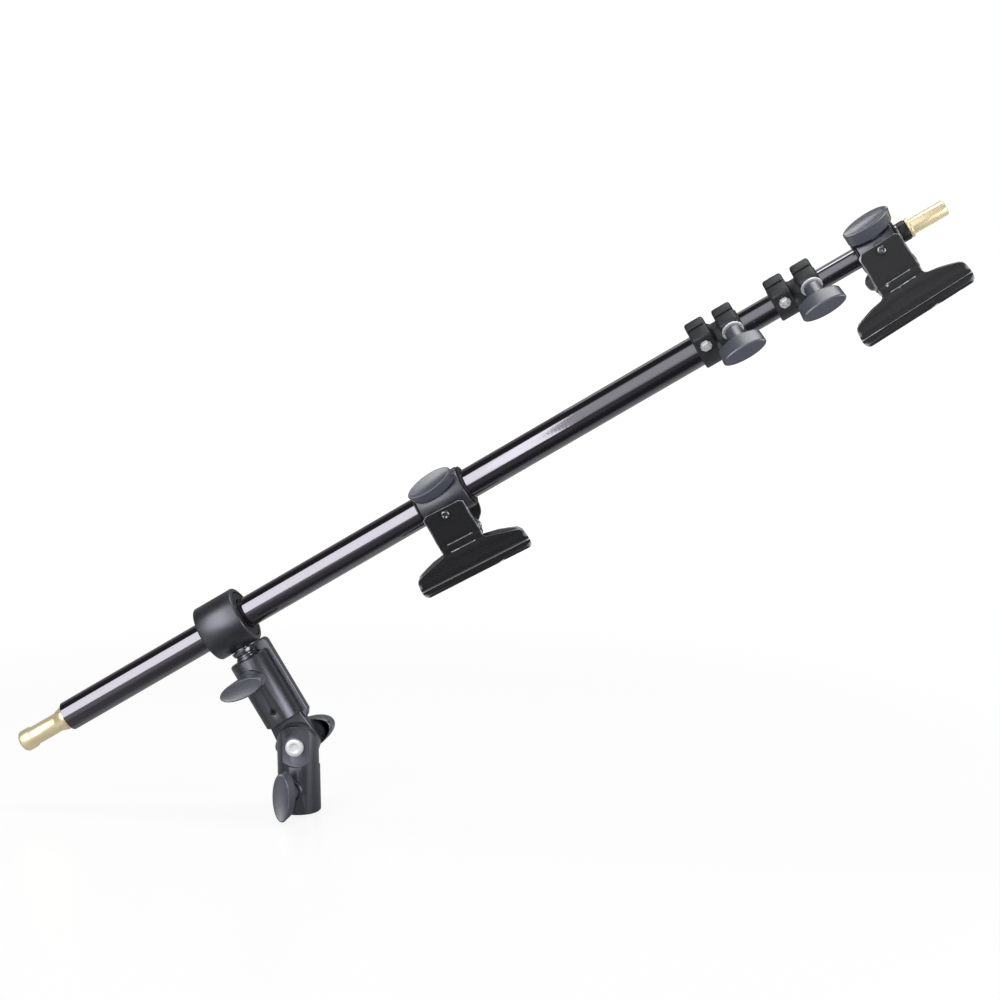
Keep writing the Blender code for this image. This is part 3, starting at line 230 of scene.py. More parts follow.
# Camera
# Fitted to the picture's tube line, spigot, stud, rivets, nuts and hinge bolt.
AZIMUTH, ELEVATION, ROLL = 6.0, 7.0, -0.62
DISTANCE = 1.474
AIM = Vector((0.1495, 0, 0.2285))
FOCAL_PIXELS = 2075.8
turn, rise = math.radians(AZIMUTH), math.radians(ELEVATION)
away = Vector(
    (math.sin(turn) * math.cos(rise), -math.cos(turn) * math.cos(rise), math.sin(rise))
)
lens = bpy.data.cameras.new("camera")
lens.sensor_width = 36
lens.lens = FOCAL_PIXELS * 36 / 1000
lens.clip_start = 0.05
camera = bpy.data.objects.new("camera", lens)
aimed = (-away).to_track_quat("-Z", "Y").to_matrix().to_4x4()
spin = Matrix.Rotation(math.radians(ROLL), 4, "Z")
camera.matrix_world = Matrix.Translation(AIM + away * DISTANCE) @ aimed @ spin
bpy.context.scene.collection.objects.link(camera)
bpy.context.scene.camera = camera
bpy.context.scene.view_settings.view_transform = "Standard"

# Boom tubes
# Three steel tubes, 22.2, 18 and 14.7 mm outside, drawn over mandrels, deburred at the ends and
# sprayed gloss black.  Each slides in the next on a nylon glide pressed in its rear end.
MM = 0.001
HEAD_AXIS = Vector((-math.sin(BOOM_ANGLE), 0, math.cos(BOOM_ANGLE)))
PIVOT = Vector((0, 0, 0.05))
HUB = PIVOT + HEAD_AXIS * 0.101
LEAN = Matrix.Rotation(-BOOM_ANGLE, 4, "Y")


def on_boom(along, roll=0.0):
    """The frame of a piece on the boom: X along it, turned round it by roll degrees."""
    place = Matrix.Translation(HUB + BOOM_AXIS * along * MM) @ LEAN
    return place @ Matrix.Rotation(math.radians(roll), 4, "X")


def turned(outline, closed=True, steps=96):
    """A lathe-turned shape round X from (distance along X, radius) points in millimetres."""
    shape = bmesh.new()
    points = [shape.verts.new((x, 0, radius)) for x, radius in outline]
    edges = [shape.edges.new(pair) for pair in zip(points, points[1:])]
    if closed:
        edges.append(shape.edges.new((points[-1], points[0])))
    bmesh.ops.spin(
        shape,
        geom=points + edges,
        cent=(0, 0, 0),
        axis=(1, 0, 0),
        angle=math.tau,
        steps=steps,
        use_merge=True,
    )
    return shape


def soften(piece, width, segments=3, angle=32):
    """A small round on every edge sharper than the angle, as tooling and paint leave it."""
    bevel = piece.modifiers.new("soft edges", "BEVEL")
    bevel.width = width * MM
    bevel.segments = segments
    bevel.limit_method = "ANGLE"
    bevel.angle_limit = math.radians(angle)
    bevel.harden_normals = True


def hand_over(name, shape, place, finish, body, nodes, edge=0.0):
    """Set a shape in millimetres in its place as a piece that stands for CAD nodes."""
    bmesh.ops.remove_doubles(shape, verts=shape.verts, dist=1e-4)
    bmesh.ops.recalc_face_normals(shape, faces=shape.faces)
    shape.transform(place @ Matrix.Scale(MM, 4))
    mesh = bpy.data.meshes.new(name)
    shape.to_mesh(mesh)
    shape.free()
    mesh.materials.append(finish)
    mesh.shade_smooth()
    piece = bpy.data.objects.new(name, mesh)
    bpy.context.scene.collection.objects.link(piece)
    if edge:
        soften(piece, edge)
    else:
        mesh.set_sharp_from_angle(angle=math.radians(35))
    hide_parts(*nodes)
    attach(piece, body)
    return piece


def surface(name, colour, roughness, metallic=0.0):
    """A new Principled material with its object coordinates, ready for its pattern."""
    made = bpy.data.materials.new(name)
    made.use_nodes = True
    tree = made.node_tree
    tree.nodes.clear()
    shader = add_node(
        tree,
        "ShaderNodeBsdfPrincipled",
        {"Base Color": linear(colour), "Roughness": roughness, "Metallic": metallic},
    )
    add_node(tree, "ShaderNodeOutputMaterial", {}, {"Surface": shader.outputs[0]})
    place = add_node(tree, "ShaderNodeTexCoord").outputs["Object"]
    return made, tree, shader, place


def noise(tree, place, scale, detail):
    """A noise pattern with so many features to the metre."""
    settings = {"Scale": scale, "Detail": detail}
    return add_node(tree, "ShaderNodeTexNoise", settings, {"Vector": place})


def emboss(tree, shader, height, strength, depth):
    """Bump from a pattern, its depth in millimetres."""
    settings = {"Strength": strength, "Distance": depth * MM}
    bump = add_node(tree, "ShaderNodeBump", settings, {"Height": height})
    tree.links.new(bump.outputs[0], shader.inputs["Normal"])


def vary_roughness(tree, shader, factor, low, high):
    """Roughness that follows a pattern between two values."""
    gloss = add_node(tree, "ShaderNodeMapRange", {"To Min": low, "To Max": high}, {"Value": factor})
    tree.links.new(gloss.outputs[0], shader.inputs["Roughness"])


def vary_colour(tree, shader, factor, low, high):
    """Base colour that follows a pattern between two colours."""
    settings = {"data_type": "RGBA", 6: linear(low), 7: linear(high)}
    tone = add_node(tree, "ShaderNodeMix", settings, {0: factor})
    tree.links.new(tone.outputs[2], shader.inputs["Base Color"])


# Stoved enamel: a wet-looking black coat with a very faint orange peel and lengthwise rub marks
# from sliding.  The peel is about 2 mm across and the marks are some 30 mm long.
enamel, tree, shader, place = surface("gloss black stoved enamel", "#060508", 0.08)
shader.inputs["Specular IOR Level"].default_value = 1.0
shader.inputs["IOR"].default_value = 1.9
shader.inputs["Specular Tint"].default_value = linear("#f3eeff")
shader.inputs["Coat Weight"].default_value = 1.0
shader.inputs["Coat Roughness"].default_value = 0.04
along = add_node(tree, "ShaderNodeMapping", {"Rotation": (0, BOOM_ANGLE, 0)}, {"Vector": place})
stretched = add_node(
    tree, "ShaderNodeMapping", {"Scale": (0.05, 1, 1)}, {"Vector": along.outputs[0]}
)
rub = noise(tree, stretched.outputs[0], 900.0, 3.0)
wear = add_node(
    tree,
    "ShaderNodeMapRange",
    {"From Min": 0.35, "From Max": 0.75, "To Min": 0.05, "To Max": 0.11},
    {"Value": rub.outputs["Fac"]},
)
tree.links.new(wear.outputs[0], shader.inputs["Roughness"])
peel = noise(tree, place, 450.0, 2.0)
emboss(tree, shader, peel.outputs[0], 0.06, 0.2)

TUBE_WALL = 1.2
for name, node, radius, start, end, body in (
    ("tube_main", "main_tube", 11.1, -139.6, 408.0, "boom"),
    ("tube_middle", "middle_tube", 9.0, -75.0, 469.0, "section1"),
    ("tube_inner", "inner_tube", 7.35, 13.0, 551.5, "section2"),
):
    outline = [
        (start, radius - TUBE_WALL),
        (start, radius - 0.3),
        (start + 0.3, radius),
        (end - 0.3, radius),
        (end, radius - 0.3),
        (end, radius - TUBE_WALL),
    ]
    hand_over(name, turned(outline, steps=128), on_boom(0), enamel, body, [node], 0.12)

# Rear spigot and front stud
# Brass bar turned on a lathe, lacquered: the low end carries the 16 mm grip spigot with its
# waisted neck, the high end an 11 mm stud with a flange, screwed in a black nylon plug.
brass, tree, shader, place = surface("satin turned brass", "#f3e4bb", 0.3, 0.6)
along = add_node(tree, "ShaderNodeMapping", {"Rotation": (0, BOOM_ANGLE, 0)}, {"Vector": place})
# Tool marks run round the bar, some 0.3 mm apart, drawn at 0.6 mm so that they show
rings = add_node(
    tree, "ShaderNodeMapping", {"Scale": (1, 0.02, 0.02)}, {"Vector": along.outputs[0]}
)
marks = noise(tree, rings.outputs[0], 1700.0, 2.0)
emboss(tree, shader, marks.outputs[0], 0.015, 0.03)
# Handling dulls the polish in soft patches about 8 mm wide
dull = noise(tree, place, 120.0, 4.0)
vary_roughness(tree, shader, dull.outputs[0], 0.26, 0.36)
vary_colour(tree, shader, dull.outputs[0], "#fff3d2", "#f9e4b0")

spigot = [
    (-171.0, 0),
    (-171.0, 2.6),
    (-172.0, 3.3),
    (-179.3, 3.3),
    (-180.0, 4.0),
    (-180.0, 6.2),
    (-179.2, 7.2),
    (-178.2, 7.9),
    (-177.6, 8.0),
    (-171.4, 8.0),
    (-170.8, 7.85),
    (-169.6, 7.2),
    (-168.9, 7.0),
    (-148.9, 7.0),
    (-148.2, 7.1),
    (-146.6, 7.7),
    (-144.4, 8.3),
    (-143.0, 8.65),
    (-141.8, 8.7),
    (-140.2, 8.7),
    (-139.9, 8.5),
    (-139.9, 8.0),
    (-138.8, 9.5),
    (-124.0, 9.5),
    (-124.0, 0),
]
shape = turned(spigot, closed=False)
hand_over("spigot", shape, on_boom(0), brass, "boom", ["rear_spigot"], 0.15)
stud = [
    (552.0, 0),
    (552.0, 3.7),
    (557.6, 3.7),
    (557.6, 6.7),
    (557.9, 7.0),
    (559.5, 7.0),
    (559.9, 6.7),
    (560.05, 5.8),
    (560.3, 5.5),
    (585.4, 5.5),
    (586.2, 5.1),
    (586.6, 4.4),
    (586.6, 0),
]
shape = turned(stud, closed=False)
hand_over("stud", shape, on_boom(0), brass, "section2", ["front_stud"], 0.12)

# The end plug is moulded nylon, satin black, with a soft outer corner
nylon, tree, shader, place = surface("black moulded nylon", "#131314", 0.42)
grain = noise(tree, place, 1500.0, 2.0)
emboss(tree, shader, grain.outputs[0], 0.1, 0.1)
vary_roughness(tree, shader, grain.outputs[0], 0.36, 0.5)
plug = [
    (539.8, 4.0),
    (539.8, 5.95),
    (551.8, 5.95),
    (551.8, 7.2),
    (556.4, 7.2),
    (557.0, 7.0),
    (557.3, 6.5),
    (557.3, 4.0),
]
hand_over("end_plug", turned(plug), on_boom(0), nylon, "section2", ["front_cap"], 0.12)
for node in ("middle_glide", "inner_glide"):
    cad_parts[node].data.materials[0] = nylon

# Swivel collar, bush and stem
# A turned aluminium ring, satin black, that holds the boom in a flanged nylon bush.  Its steel
# stem, with a retaining groove, drops in the head's socket and lets the whole boom swivel.
satin, tree, shader, place = surface("satin black powder coat", "#1c1d20", 0.34)
# The coat's pebbled texture is about 0.5 mm across
pebble = noise(tree, place, 1400.0, 3.0)
emboss(tree, shader, pebble.outputs[0], 0.18, 0.12)
patch = noise(tree, place, 60.0, 4.0)
vary_roughness(tree, shader, patch.outputs[0], 0.3, 0.42)
shader.inputs["Specular IOR Level"].default_value = 1.0
shader.inputs["IOR"].default_value = 1.75
shader.inputs["Specular Tint"].default_value = linear("#eeeeff")

RING_HALF = 16.25
ring = [
    (-RING_HALF + 2.5, 14.9),
    (-RING_HALF + 2.5, 17.9),
    (-RING_HALF, 17.9),
    (-RING_HALF, 19.6),
    (-RING_HALF + 0.45, 20.5),
    (-RING_HALF + 1.3, 21.0),
    (RING_HALF - 1.3, 21.0),
    (RING_HALF - 0.45, 20.5),
    (RING_HALF, 19.6),
    (RING_HALF, 17.9),
    (RING_HALF - 2.5, 17.9),
    (RING_HALF - 2.5, 14.9),
]
hand_over("collar_ring", turned(ring), on_boom(0), satin, "collar", ["swivel_collar"], 0.2)
sleeve = [
    (-RING_HALF + 2.7, 11.4),
    (-RING_HALF + 2.7, 14.6),
    (RING_HALF - 2.2, 14.6),
    (RING_HALF - 2.2, 17.5),
    (RING_HALF - 0.8, 17.5),
    (RING_HALF - 0.3, 17.1),
    (RING_HALF - 0.25, 12.0),
    (RING_HALF - 1.2, 11.4),
]
hand_over("collar_sleeve", turned(sleeve), on_boom(0), nylon, "bush", ["collar_bush"], 0.15)

# Bright zinc plate over turned steel: small pieces, with a pale, slightly clouded shine
zinc, tree, shader, place = surface("bright zinc plate", "#c9cccd", 0.22, 1.0)
cloud = noise(tree, place, 500.0, 4.0)
vary_roughness(tree, shader, cloud.outputs[0], 0.14, 0.34)
emboss(tree, shader, cloud.outputs[0], 0.05, 0.1)
vary_colour(tree, shader, cloud.outputs[0], "#d2d5d6", "#b4b8ba")

# The hinge bolt, nuts and washers are dipped, not polished: the same zinc, paler and duller
dipped_zinc, tree, shader, place = surface("dipped zinc plate", "#eceeee", 0.5, 0.6)
cloud = noise(tree, place, 700.0, 4.0)
vary_roughness(tree, shader, cloud.outputs[0], 0.4, 0.6)
emboss(tree, shader, cloud.outputs[0], 0.2, 0.2)

# Bare steel for the swivel stem and the rivets, gone dull, with a keen small highlight
bare_steel, tree, shader, place = surface("dull bare steel", "#85878c", 0.26, 1.0)
stain = noise(tree, place, 420.0, 4.0)
vary_roughness(tree, shader, stain.outputs[0], 0.18, 0.36)
vary_colour(tree, shader, stain.outputs[0], "#77797f", "#96989e")

# Stand head
# Two sand-cast aluminium receivers, powder coated dark grey, meet in a hinge with a flat disc.
# The lower one drops on a stand's spigot, the upper one takes the collar's stem.
cast, tree, shader, place = surface("dark grey powder coated casting", "#26272b", 0.36)
# The coat follows the cast skin: broad unevenness some 3 mm across under a 0.6 mm pebble
skin = noise(tree, place, 260.0, 3.0)
pebble = noise(tree, place, 1300.0, 2.0)
relief = add_node(
    tree,
    "ShaderNodeMath",
    {"operation": "MULTIPLY_ADD", 1: 0.5},
    {0: skin.outputs["Fac"], 2: pebble.outputs["Fac"]},
)
emboss(tree, shader, relief.outputs[0], 0.22, 0.14)
vary_roughness(tree, shader, skin.outputs[0], 0.26, 0.38)
vary_colour(tree, shader, skin.outputs[0], "#1f2024", "#2c2e33")
shader.inputs["Specular IOR Level"].default_value = 1.0
shader.inputs["IOR"].default_value = 1.75
shader.inputs["Specular Tint"].default_value = linear("#eeeeff")


def from_cad(name, node, finish, body, edge):
    """A merged copy of a CAD casting or moulding, with its edges rounded."""
    shape = bmesh.new()
    shape.from_mesh(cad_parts[node].data)
    bmesh.ops.remove_doubles(shape, verts=shape.verts, dist=2e-6)
    bmesh.ops.dissolve_limit(
        shape, angle_limit=math.radians(1.0), verts=shape.verts, edges=shape.edges
    )
    mesh = bpy.data.meshes.new(name)
    shape.to_mesh(mesh)
    shape.free()
    mesh.materials.append(finish)
    mesh.shade_smooth()
    piece = bpy.data.objects.new(name, mesh)
    bpy.context.scene.collection.objects.link(piece)
    soften(piece, edge)
    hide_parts(node)
    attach(piece, body)
    return piece


from_cad("receiver_lower", "lower_receiver", cast, "base", 0.5)
from_cad("receiver_upper", "upper_receiver", cast, "head", 0.5)

# The hinge bolt has a round, slightly domed head with a shallow turned recess
bolt = [
    (-23.5, 0.0),
    (-23.5, 4.0),
    (12.3, 4.0),
    (12.3, 6.3),
    (12.6, 6.6),
    (15.4, 6.6),
    (16.1, 6.2),
    (16.45, 5.4),
    (16.5, 3.0),
    (16.3, 2.6),
    (15.2, 2.4),
    (15.2, 0.0),
]
seat = Matrix.Translation(PIVOT) @ Matrix.Rotation(math.radians(-90), 4, "Z")
shape = turned(bolt, closed=False)
hand_over("hinge_bolt", shape, seat, dipped_zinc, "base", ["tilt_bolt"], 0.15)
for node in ("tilt_washer", "tilt_friction_disc"):
    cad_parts[node].data.materials[0] = dipped_zinc

# The collar's stem: a turned shank with a neck above the socket and a long retaining groove
stem = [
    (16.6, 0.0),
    (16.6, 6.4),
    (21.4, 6.4),
    (21.4, 8.5),
    (22.4, 8.5),
    (24.4, 7.9),
    (25.0, 6.9),
    (26.1, 6.9),
    (26.8, 7.9),
    (34.4, 7.9),
    (35.4, 6.3),
    (53.4, 6.3),
    (54.4, 7.9),
    (68.2, 7.9),
    (69.4, 6.7),
    (69.4, 0.0),
]
hang = on_boom(0) @ Matrix.Rotation(math.radians(90), 4, "Y")
shape = turned(stem, closed=False)
hand_over("swivel_stem", shape, hang, bare_steel, "collar", ["swivel_stud"], 0.25)
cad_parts["upper_set_screw"].data.materials[0] = nylon

# Hand knobs
# Glass-filled nylon oval knobs, blue-grey, moulded with a fine spark texture.  Each has a round
# stem, a drafted oval wall, a rim and a dished end face.
knob_nylon, tree, shader, place = surface("blue grey glass-filled nylon", "#4b505a", 0.5)
# The spark texture is about 0.4 mm, and the glass fibre gives faint paler flecks
spark = noise(tree, place, 1900.0, 2.0)
emboss(tree, shader, spark.outputs[0], 0.25, 0.1)
fleck = noise(tree, place, 700.0, 5.0)
vary_colour(tree, shader, fleck.outputs[0], "#393d48", "#484e5b")
vary_roughness(tree, shader, fleck.outputs[0], 0.28, 0.4)
shader.inputs["Specular IOR Level"].default_value = 1.0
shader.inputs["IOR"].default_value = 1.7


def drawn_up(stations, count=72):
    """A solid grown from a disc: each (height, half length, half width) is one extrusion."""
    shape = bmesh.new()
    height, length, width = stations[0]
    seat = Matrix.Translation((0, 0, height)) @ Matrix.Diagonal((length, width, 1, 1))
    bmesh.ops.create_circle(shape, cap_ends=True, radius=1.0, segments=count, matrix=seat)
    face = shape.faces[:][0]
    for next_height, next_length, next_width in stations[1:]:
        grown = bmesh.ops.extrude_face_region(shape, geom=[face])["geom"]
        face = [item for item in grown if isinstance(item, bmesh.types.BMFace)][0]
        scale = Matrix.Diagonal((next_length / length, next_width / width, 1, 1))
        lift = Matrix.Translation((0, 0, next_height - height))
        bmesh.ops.transform(shape, verts=face.verts, matrix=lift @ scale)
        height, length, width = next_height, next_length, next_width
    return shape


def knob_shape(stem, height, half_length, half_width):
    """The knob's solid, its stem at the origin and its face at stem + height."""
    top = stem + height
    return drawn_up(
        (
            (0.0, 5.6, 5.6),
            (0.5, 6.2, 6.2),
            (stem - 0.6, 6.3, 6.2),
            (stem - 0.15, 6.8, 6.3),
            (stem, half_length * 0.5, half_width * 0.93),
            (stem + 0.1, half_length - 2.6, half_width * 0.93),
            (stem + 0.6, half_length - 1.3, half_width * 0.96),
            (stem + 1.6, half_length - 0.7, half_width * 0.98),
            (top - 2.2, half_length - 0.1, half_width - 0.02),
            (top - 1.2, half_length, half_width),
            (top - 0.5, half_length - 0.3, half_width - 0.25),
            (top - 0.1, half_length - 0.9, half_width - 0.7),
            (top, half_length - 1.4, half_width - 1.1),
            (top - 0.1, half_length - 1.9, half_width - 1.5),
            (top - 0.5, half_length - 2.5, half_width - 2.0),
            (top - 0.8, half_length - 3.6, half_width - 2.7),
            (top - 1.0, half_length * 0.55, half_width * 0.4),
            (top - 1.05, half_length * 0.2, half_width * 0.12),
        )
    )


def knob_seat(place, direction, base, twist):
    """A frame whose Z is a direction in the YZ plane of place, at a distance from its axis."""
    lean = math.radians(direction)
    normal = Vector((0, -math.cos(lean), math.sin(lean)))
    side = Vector((1, 0, 0))
    turn = Matrix((side, normal.cross(side), normal)).transposed().to_4x4()
    spun = Matrix.Rotation(math.radians(twist), 4, "Z")
    return place @ Matrix.Translation(normal * base * MM) @ turn @ spun


GRIP_TURN = Matrix.Rotation(math.radians(-9), 4, "Z")
for name, place, radius, height, twist, body in (
    ("grip_lower", Matrix.Identity(4), 15.5, 18.4, 90, "lower_grip"),
    ("grip_upper", Matrix.Translation(PIVOT) @ LEAN, 14.2, 57.0, -4, "upper_grip"),
):
    seat = place @ GRIP_TURN @ Matrix.Translation((0, 0, height * MM))
    seat = knob_seat(seat, 0, radius + 2.9, twist)
    shape = knob_shape(stem=6.5, height=13.0, half_length=17.8, half_width=6.75)
    hand_over(name, shape, seat, knob_nylon, body, [body + "_knob"])
    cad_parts[body + "_screw"].data.materials[0] = zinc

# The tilt knob is the biggest and sits behind the hinge, on the bolt's end
rear_seat = Matrix.Translation(PIVOT + Vector((0, 13.5 * MM, 0)))
rear_seat = rear_seat @ Matrix.Rotation(math.radians(-90), 4, "X")
rear_seat = rear_seat @ Matrix.Rotation(math.radians(-27), 4, "Z")
shape = knob_shape(stem=4.0, height=12.0, half_length=24.0, half_width=11.5)
hand_over("grip_tilt", shape, rear_seat, knob_nylon, "tilt_grip", ["tilt_knob"])

# Tube locks
# Each lock is one black nylon moulding with a ring on both tubes.  A cap screw and nut fix the
# large ring; the small one is split and pinched by a hand knob through its long ears.
lock_nylon, tree, shader, place = surface("black textured nylon", "#252629", 0.5)
# The mould's grain is about 0.5 mm, worn a little smoother in patches
grain = noise(tree, place, 1600.0, 3.0)
emboss(tree, shader, grain.outputs[0], 0.3, 0.14)
worn = noise(tree, place, 150.0, 4.0)
vary_roughness(tree, shader, worn.outputs[0], 0.36, 0.56)
vary_colour(tree, shader, worn.outputs[0], "#202124", "#303135")

for label, start, inner, fixed, grip in (
    ("lock1", 392.0, 9.0, "boom", "lock1_grip"),
    ("lock2", 453.0, 7.35, "section1", "lock2_grip"),
):
    seat = on_boom(start, 44)
    from_cad(label + "_moulding", label + "_body", lock_nylon, fixed, 0.5)
    for part in ("bolt", "nut", "washer", "screw"):
        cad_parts[label + "_" + part].data.materials[0] = dipped_zinc
    screw_axis = Matrix.Translation((28.5 * MM, 0, (inner + 3.85) * MM))
    at = knob_seat(seat @ screw_axis, 0, 13.2, 0)
    shape = knob_shape(stem=11.0, height=12.5, half_length=16.5, half_width=6.75)
    hand_over(label + "_handle", shape, at, knob_nylon, grip, [label + "_knob"])

# Clip sleeves
# A die-cast sleeve, satin black, slides and turns on the boom on two flanged nylon bushes.  A
# round pad on its side takes the rivet of the jaw, and a hand knob through its wall locks it.
# Label, place along the boom, sleeve radius, tube radius, half the sleeve's length, turn round the
# boom, then the rivet's place below and along from the axis, and the front jaw's swing on it
CLIPS = (
    ("clip1", 185.0, 15.6, 11.1, 18.0, 17.5, 4.8, -3.0, 3.0),
    ("clip2", 534.0, 13.0, 7.35, 14.0, 2.0, 2.5, 0.0, -2.5),
)
for label, along, radius, bore, half, roll, drop, shift, swing in CLIPS:
    wall = bore + 2.2
    barrel = [
        (-half, wall),
        (-half, radius - 0.9),
        (-half + 0.25, radius - 0.35),
        (-half + 0.9, radius),
        (half - 0.9, radius),
        (half - 0.25, radius - 0.35),
        (half, radius - 0.9),
        (half, wall),
    ]
    shape = turned(barrel)
    pad = bmesh.new()
    bmesh.ops.create_circle(pad, cap_ends=True, radius=6.4, segments=64)
    grown = bmesh.ops.extrude_face_region(pad, geom=pad.faces[:])["geom"]
    rim = [item for item in grown if isinstance(item, bmesh.types.BMVert)]
    bmesh.ops.translate(pad, verts=rim, vec=(0, 0, radius + 0.5 - wall))
    pad.transform(
        Matrix.Translation((shift, -wall, -drop)) @ Matrix.Rotation(math.radians(90), 4, "X")
    )
    bmesh.ops.recalc_face_normals(pad, faces=pad.faces)
    joined = bpy.data.meshes.new("pad")
    pad.to_mesh(joined)
    pad.free()
    shape.from_mesh(joined)
    seat = on_boom(along, roll)
    hand_over(label + "_barrel", shape, seat, satin, label + "_mount", [label + "_sleeve"], 0.25)
    for side, end in ((-1, "_bush_rear"), (1, "_bush_front")):
        outline = [
            (half - 7.0, bore + 0.3),
            (half - 7.0, bore + 1.9),
            (half + 0.3, bore + 1.9),
            (half + 0.3, radius - 0.9),
            (half + 0.5, radius - 0.7),
            (half + 1.2, radius - 0.8),
            (half + 1.6, radius - 1.3),
            (half + 1.7, radius - 2.2),
            (half + 1.7, bore + 1.0),
            (half + 1.2, bore + 0.3),
        ]
        ring = turned([(side * x, r) for x, r in outline])
        name = label + end + "_ring"
        hand_over(name, ring, on_boom(along), nylon, label + "_slider", [label + end])
    at = knob_seat(seat, 50, radius + 0.3, 6)
    knob = knob_shape(stem=1.6, height=12.0, half_length=17.8, half_width=6.75)
    hand_over(label + "_handle", knob, at, knob_nylon, label + "_grip", [label + "_knob"])
    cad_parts[label + "_screw"].data.materials[0] = zinc

# Bulldog jaws
# Each jaw is one blank of 1.2 mm steel, pressed and painted semi-gloss black.  The front one has
# two pressed ribs, side flanges folded round the hinge pin and a beaded, turned-in lip; the
# rear one has a curled finger tab, ears on the pin and a blade that the spring shuts.
sheet_paint, tree, shader, place = surface("black painted pressed steel", "#1b1b1e", 0.48)
# The paint has a fine orange peel, about 0.6 mm, over the steel's slightly uneven face
pore = noise(tree, place, 1300.0, 3.0)
wave = noise(tree, place, 110.0, 2.0)
relief = add_node(
    tree,
    "ShaderNodeMath",
    {"operation": "MULTIPLY_ADD", 1: 2.0},
    {0: wave.outputs["Fac"], 2: pore.outputs["Fac"]},
)
emboss(tree, shader, relief.outputs[0], 0.35, 0.15)
vary_roughness(tree, shader, wave.outputs[0], 0.4, 0.55)
# Painted highlight: rounded edges and bends are painted a pale grey, following their pointiness
edge_highlight_geometry = add_node(tree, "ShaderNodeNewGeometry")
painted_edge_highlight = add_node(
    tree,
    "ShaderNodeMapRange",
    {"From Min": 0.51, "From Max": 0.534, "To Min": 0.0, "To Max": 0.9},
    {"Value": edge_highlight_geometry.outputs["Pointiness"]},
)
# The pale grey on the edges is a painted highlight
vary_colour(tree, shader, painted_edge_highlight.outputs[0], "#1b1b1e", "#c2c5cc")

# The front blank in millimetres: half widths of neck and blade, and distances below the rivet
NECK = 16.0
BLADE = 43.5
FLARE = 26.5
LIP = 45.5
FOOT = 52.5
LIP_TURN = math.radians(12)
RIBS = (21.4, 27.5)
RIB_HALF = 9.4
SHEET = 1.15
# Its outline as (distance below the rivet, half width), from the top edge to the foot
BLANK = (
    (-5.0, NECK - 3.0),
    (-2.8, NECK),
    (FLARE, NECK),
    (FLARE + 1.6, NECK + 0.6),
    (FLARE + 2.6, NECK + 2.2),
    (FLARE + 3.4, NECK + 5.0),
    (FLARE + 7.8, BLADE - 6.0),
    (FLARE + 8.6, BLADE - 3.6),
    (FLARE + 9.8, BLADE - 1.9),
    (FLARE + 12.0, BLADE - 0.8),
    (FLARE + 16.0, BLADE - 0.2),
    (LIP + 1.0, BLADE),
    (FOOT - 2.4, BLADE - 0.6),
    (FOOT, BLADE - 3.0),
)


def between(stations, drop):
    """The value at a distance below the rivet, straight between stations."""
    for (high, value), (low, next_value) in zip(stations, stations[1:]):
        if drop <= low:
            return value + (next_value - value) * (drop - high) / (low - high)
    return stations[-1][1]


def blank_half(drop):
    """Half the blank's width at a distance below the rivet."""
    return between(BLANK, drop)


def pressed(rows, columns=24):
    """A sheet laid through rows of (half width, y, z), the first row at its top edge."""
    shape = bmesh.new()
    last = len(rows) - 1
    bmesh.ops.create_grid(shape, x_segments=columns, y_segments=last, size=0.5)
    for point in shape.verts:
        half_width, y, z = rows[last - round((point.co.y + 0.5) * last)]
        point.co = (point.co.x * 2 * half_width, y, z)
    return shape


def folded(shape, top, bottom, depths):
    """Fold a flange back from each side between two heights, its depth given by height."""
    sides = []
    for edge in shape.edges:
        if edge.is_boundary and all(bottom <= v.co.z <= top for v in edge.verts):
            if min(abs(v.co.x) for v in edge.verts) > NECK / 2:
                sides.append(edge)
    start = min(v.co.y for edge in sides for v in edge.verts)
    # The first step is short, for a tight fold
    for step in (0.12, 0.6, 1.0):
        grown = bmesh.ops.extrude_edge_only(shape, edges=sides)["geom"]
        sides = [item for item in grown if isinstance(item, bmesh.types.BMEdge)]
        for point in [item for item in grown if isinstance(item, bmesh.types.BMVert)]:
            point.co.y = start + depths(-point.co.z) * step


def sheet_piece(name, shape, place, body, node):
    """Give a pressed sheet its thickness and soft edges, and set it in place."""
    piece = hand_over(name, shape, place, sheet_paint, body, [node])
    thick = piece.modifiers.new("sheet thickness", "SOLIDIFY")
    thick.thickness = SHEET * MM
    thick.offset = 0
    thick.use_even_offset = True
    thick.thickness_clamp = 1.5
    soften(piece, 0.3, angle=40)
    piece.data.set_sharp_from_angle(angle=math.radians(28))
    return piece


PIN_BACK = 9.0
PIN_DROP = 22.0
TAB_HALF = 19.5
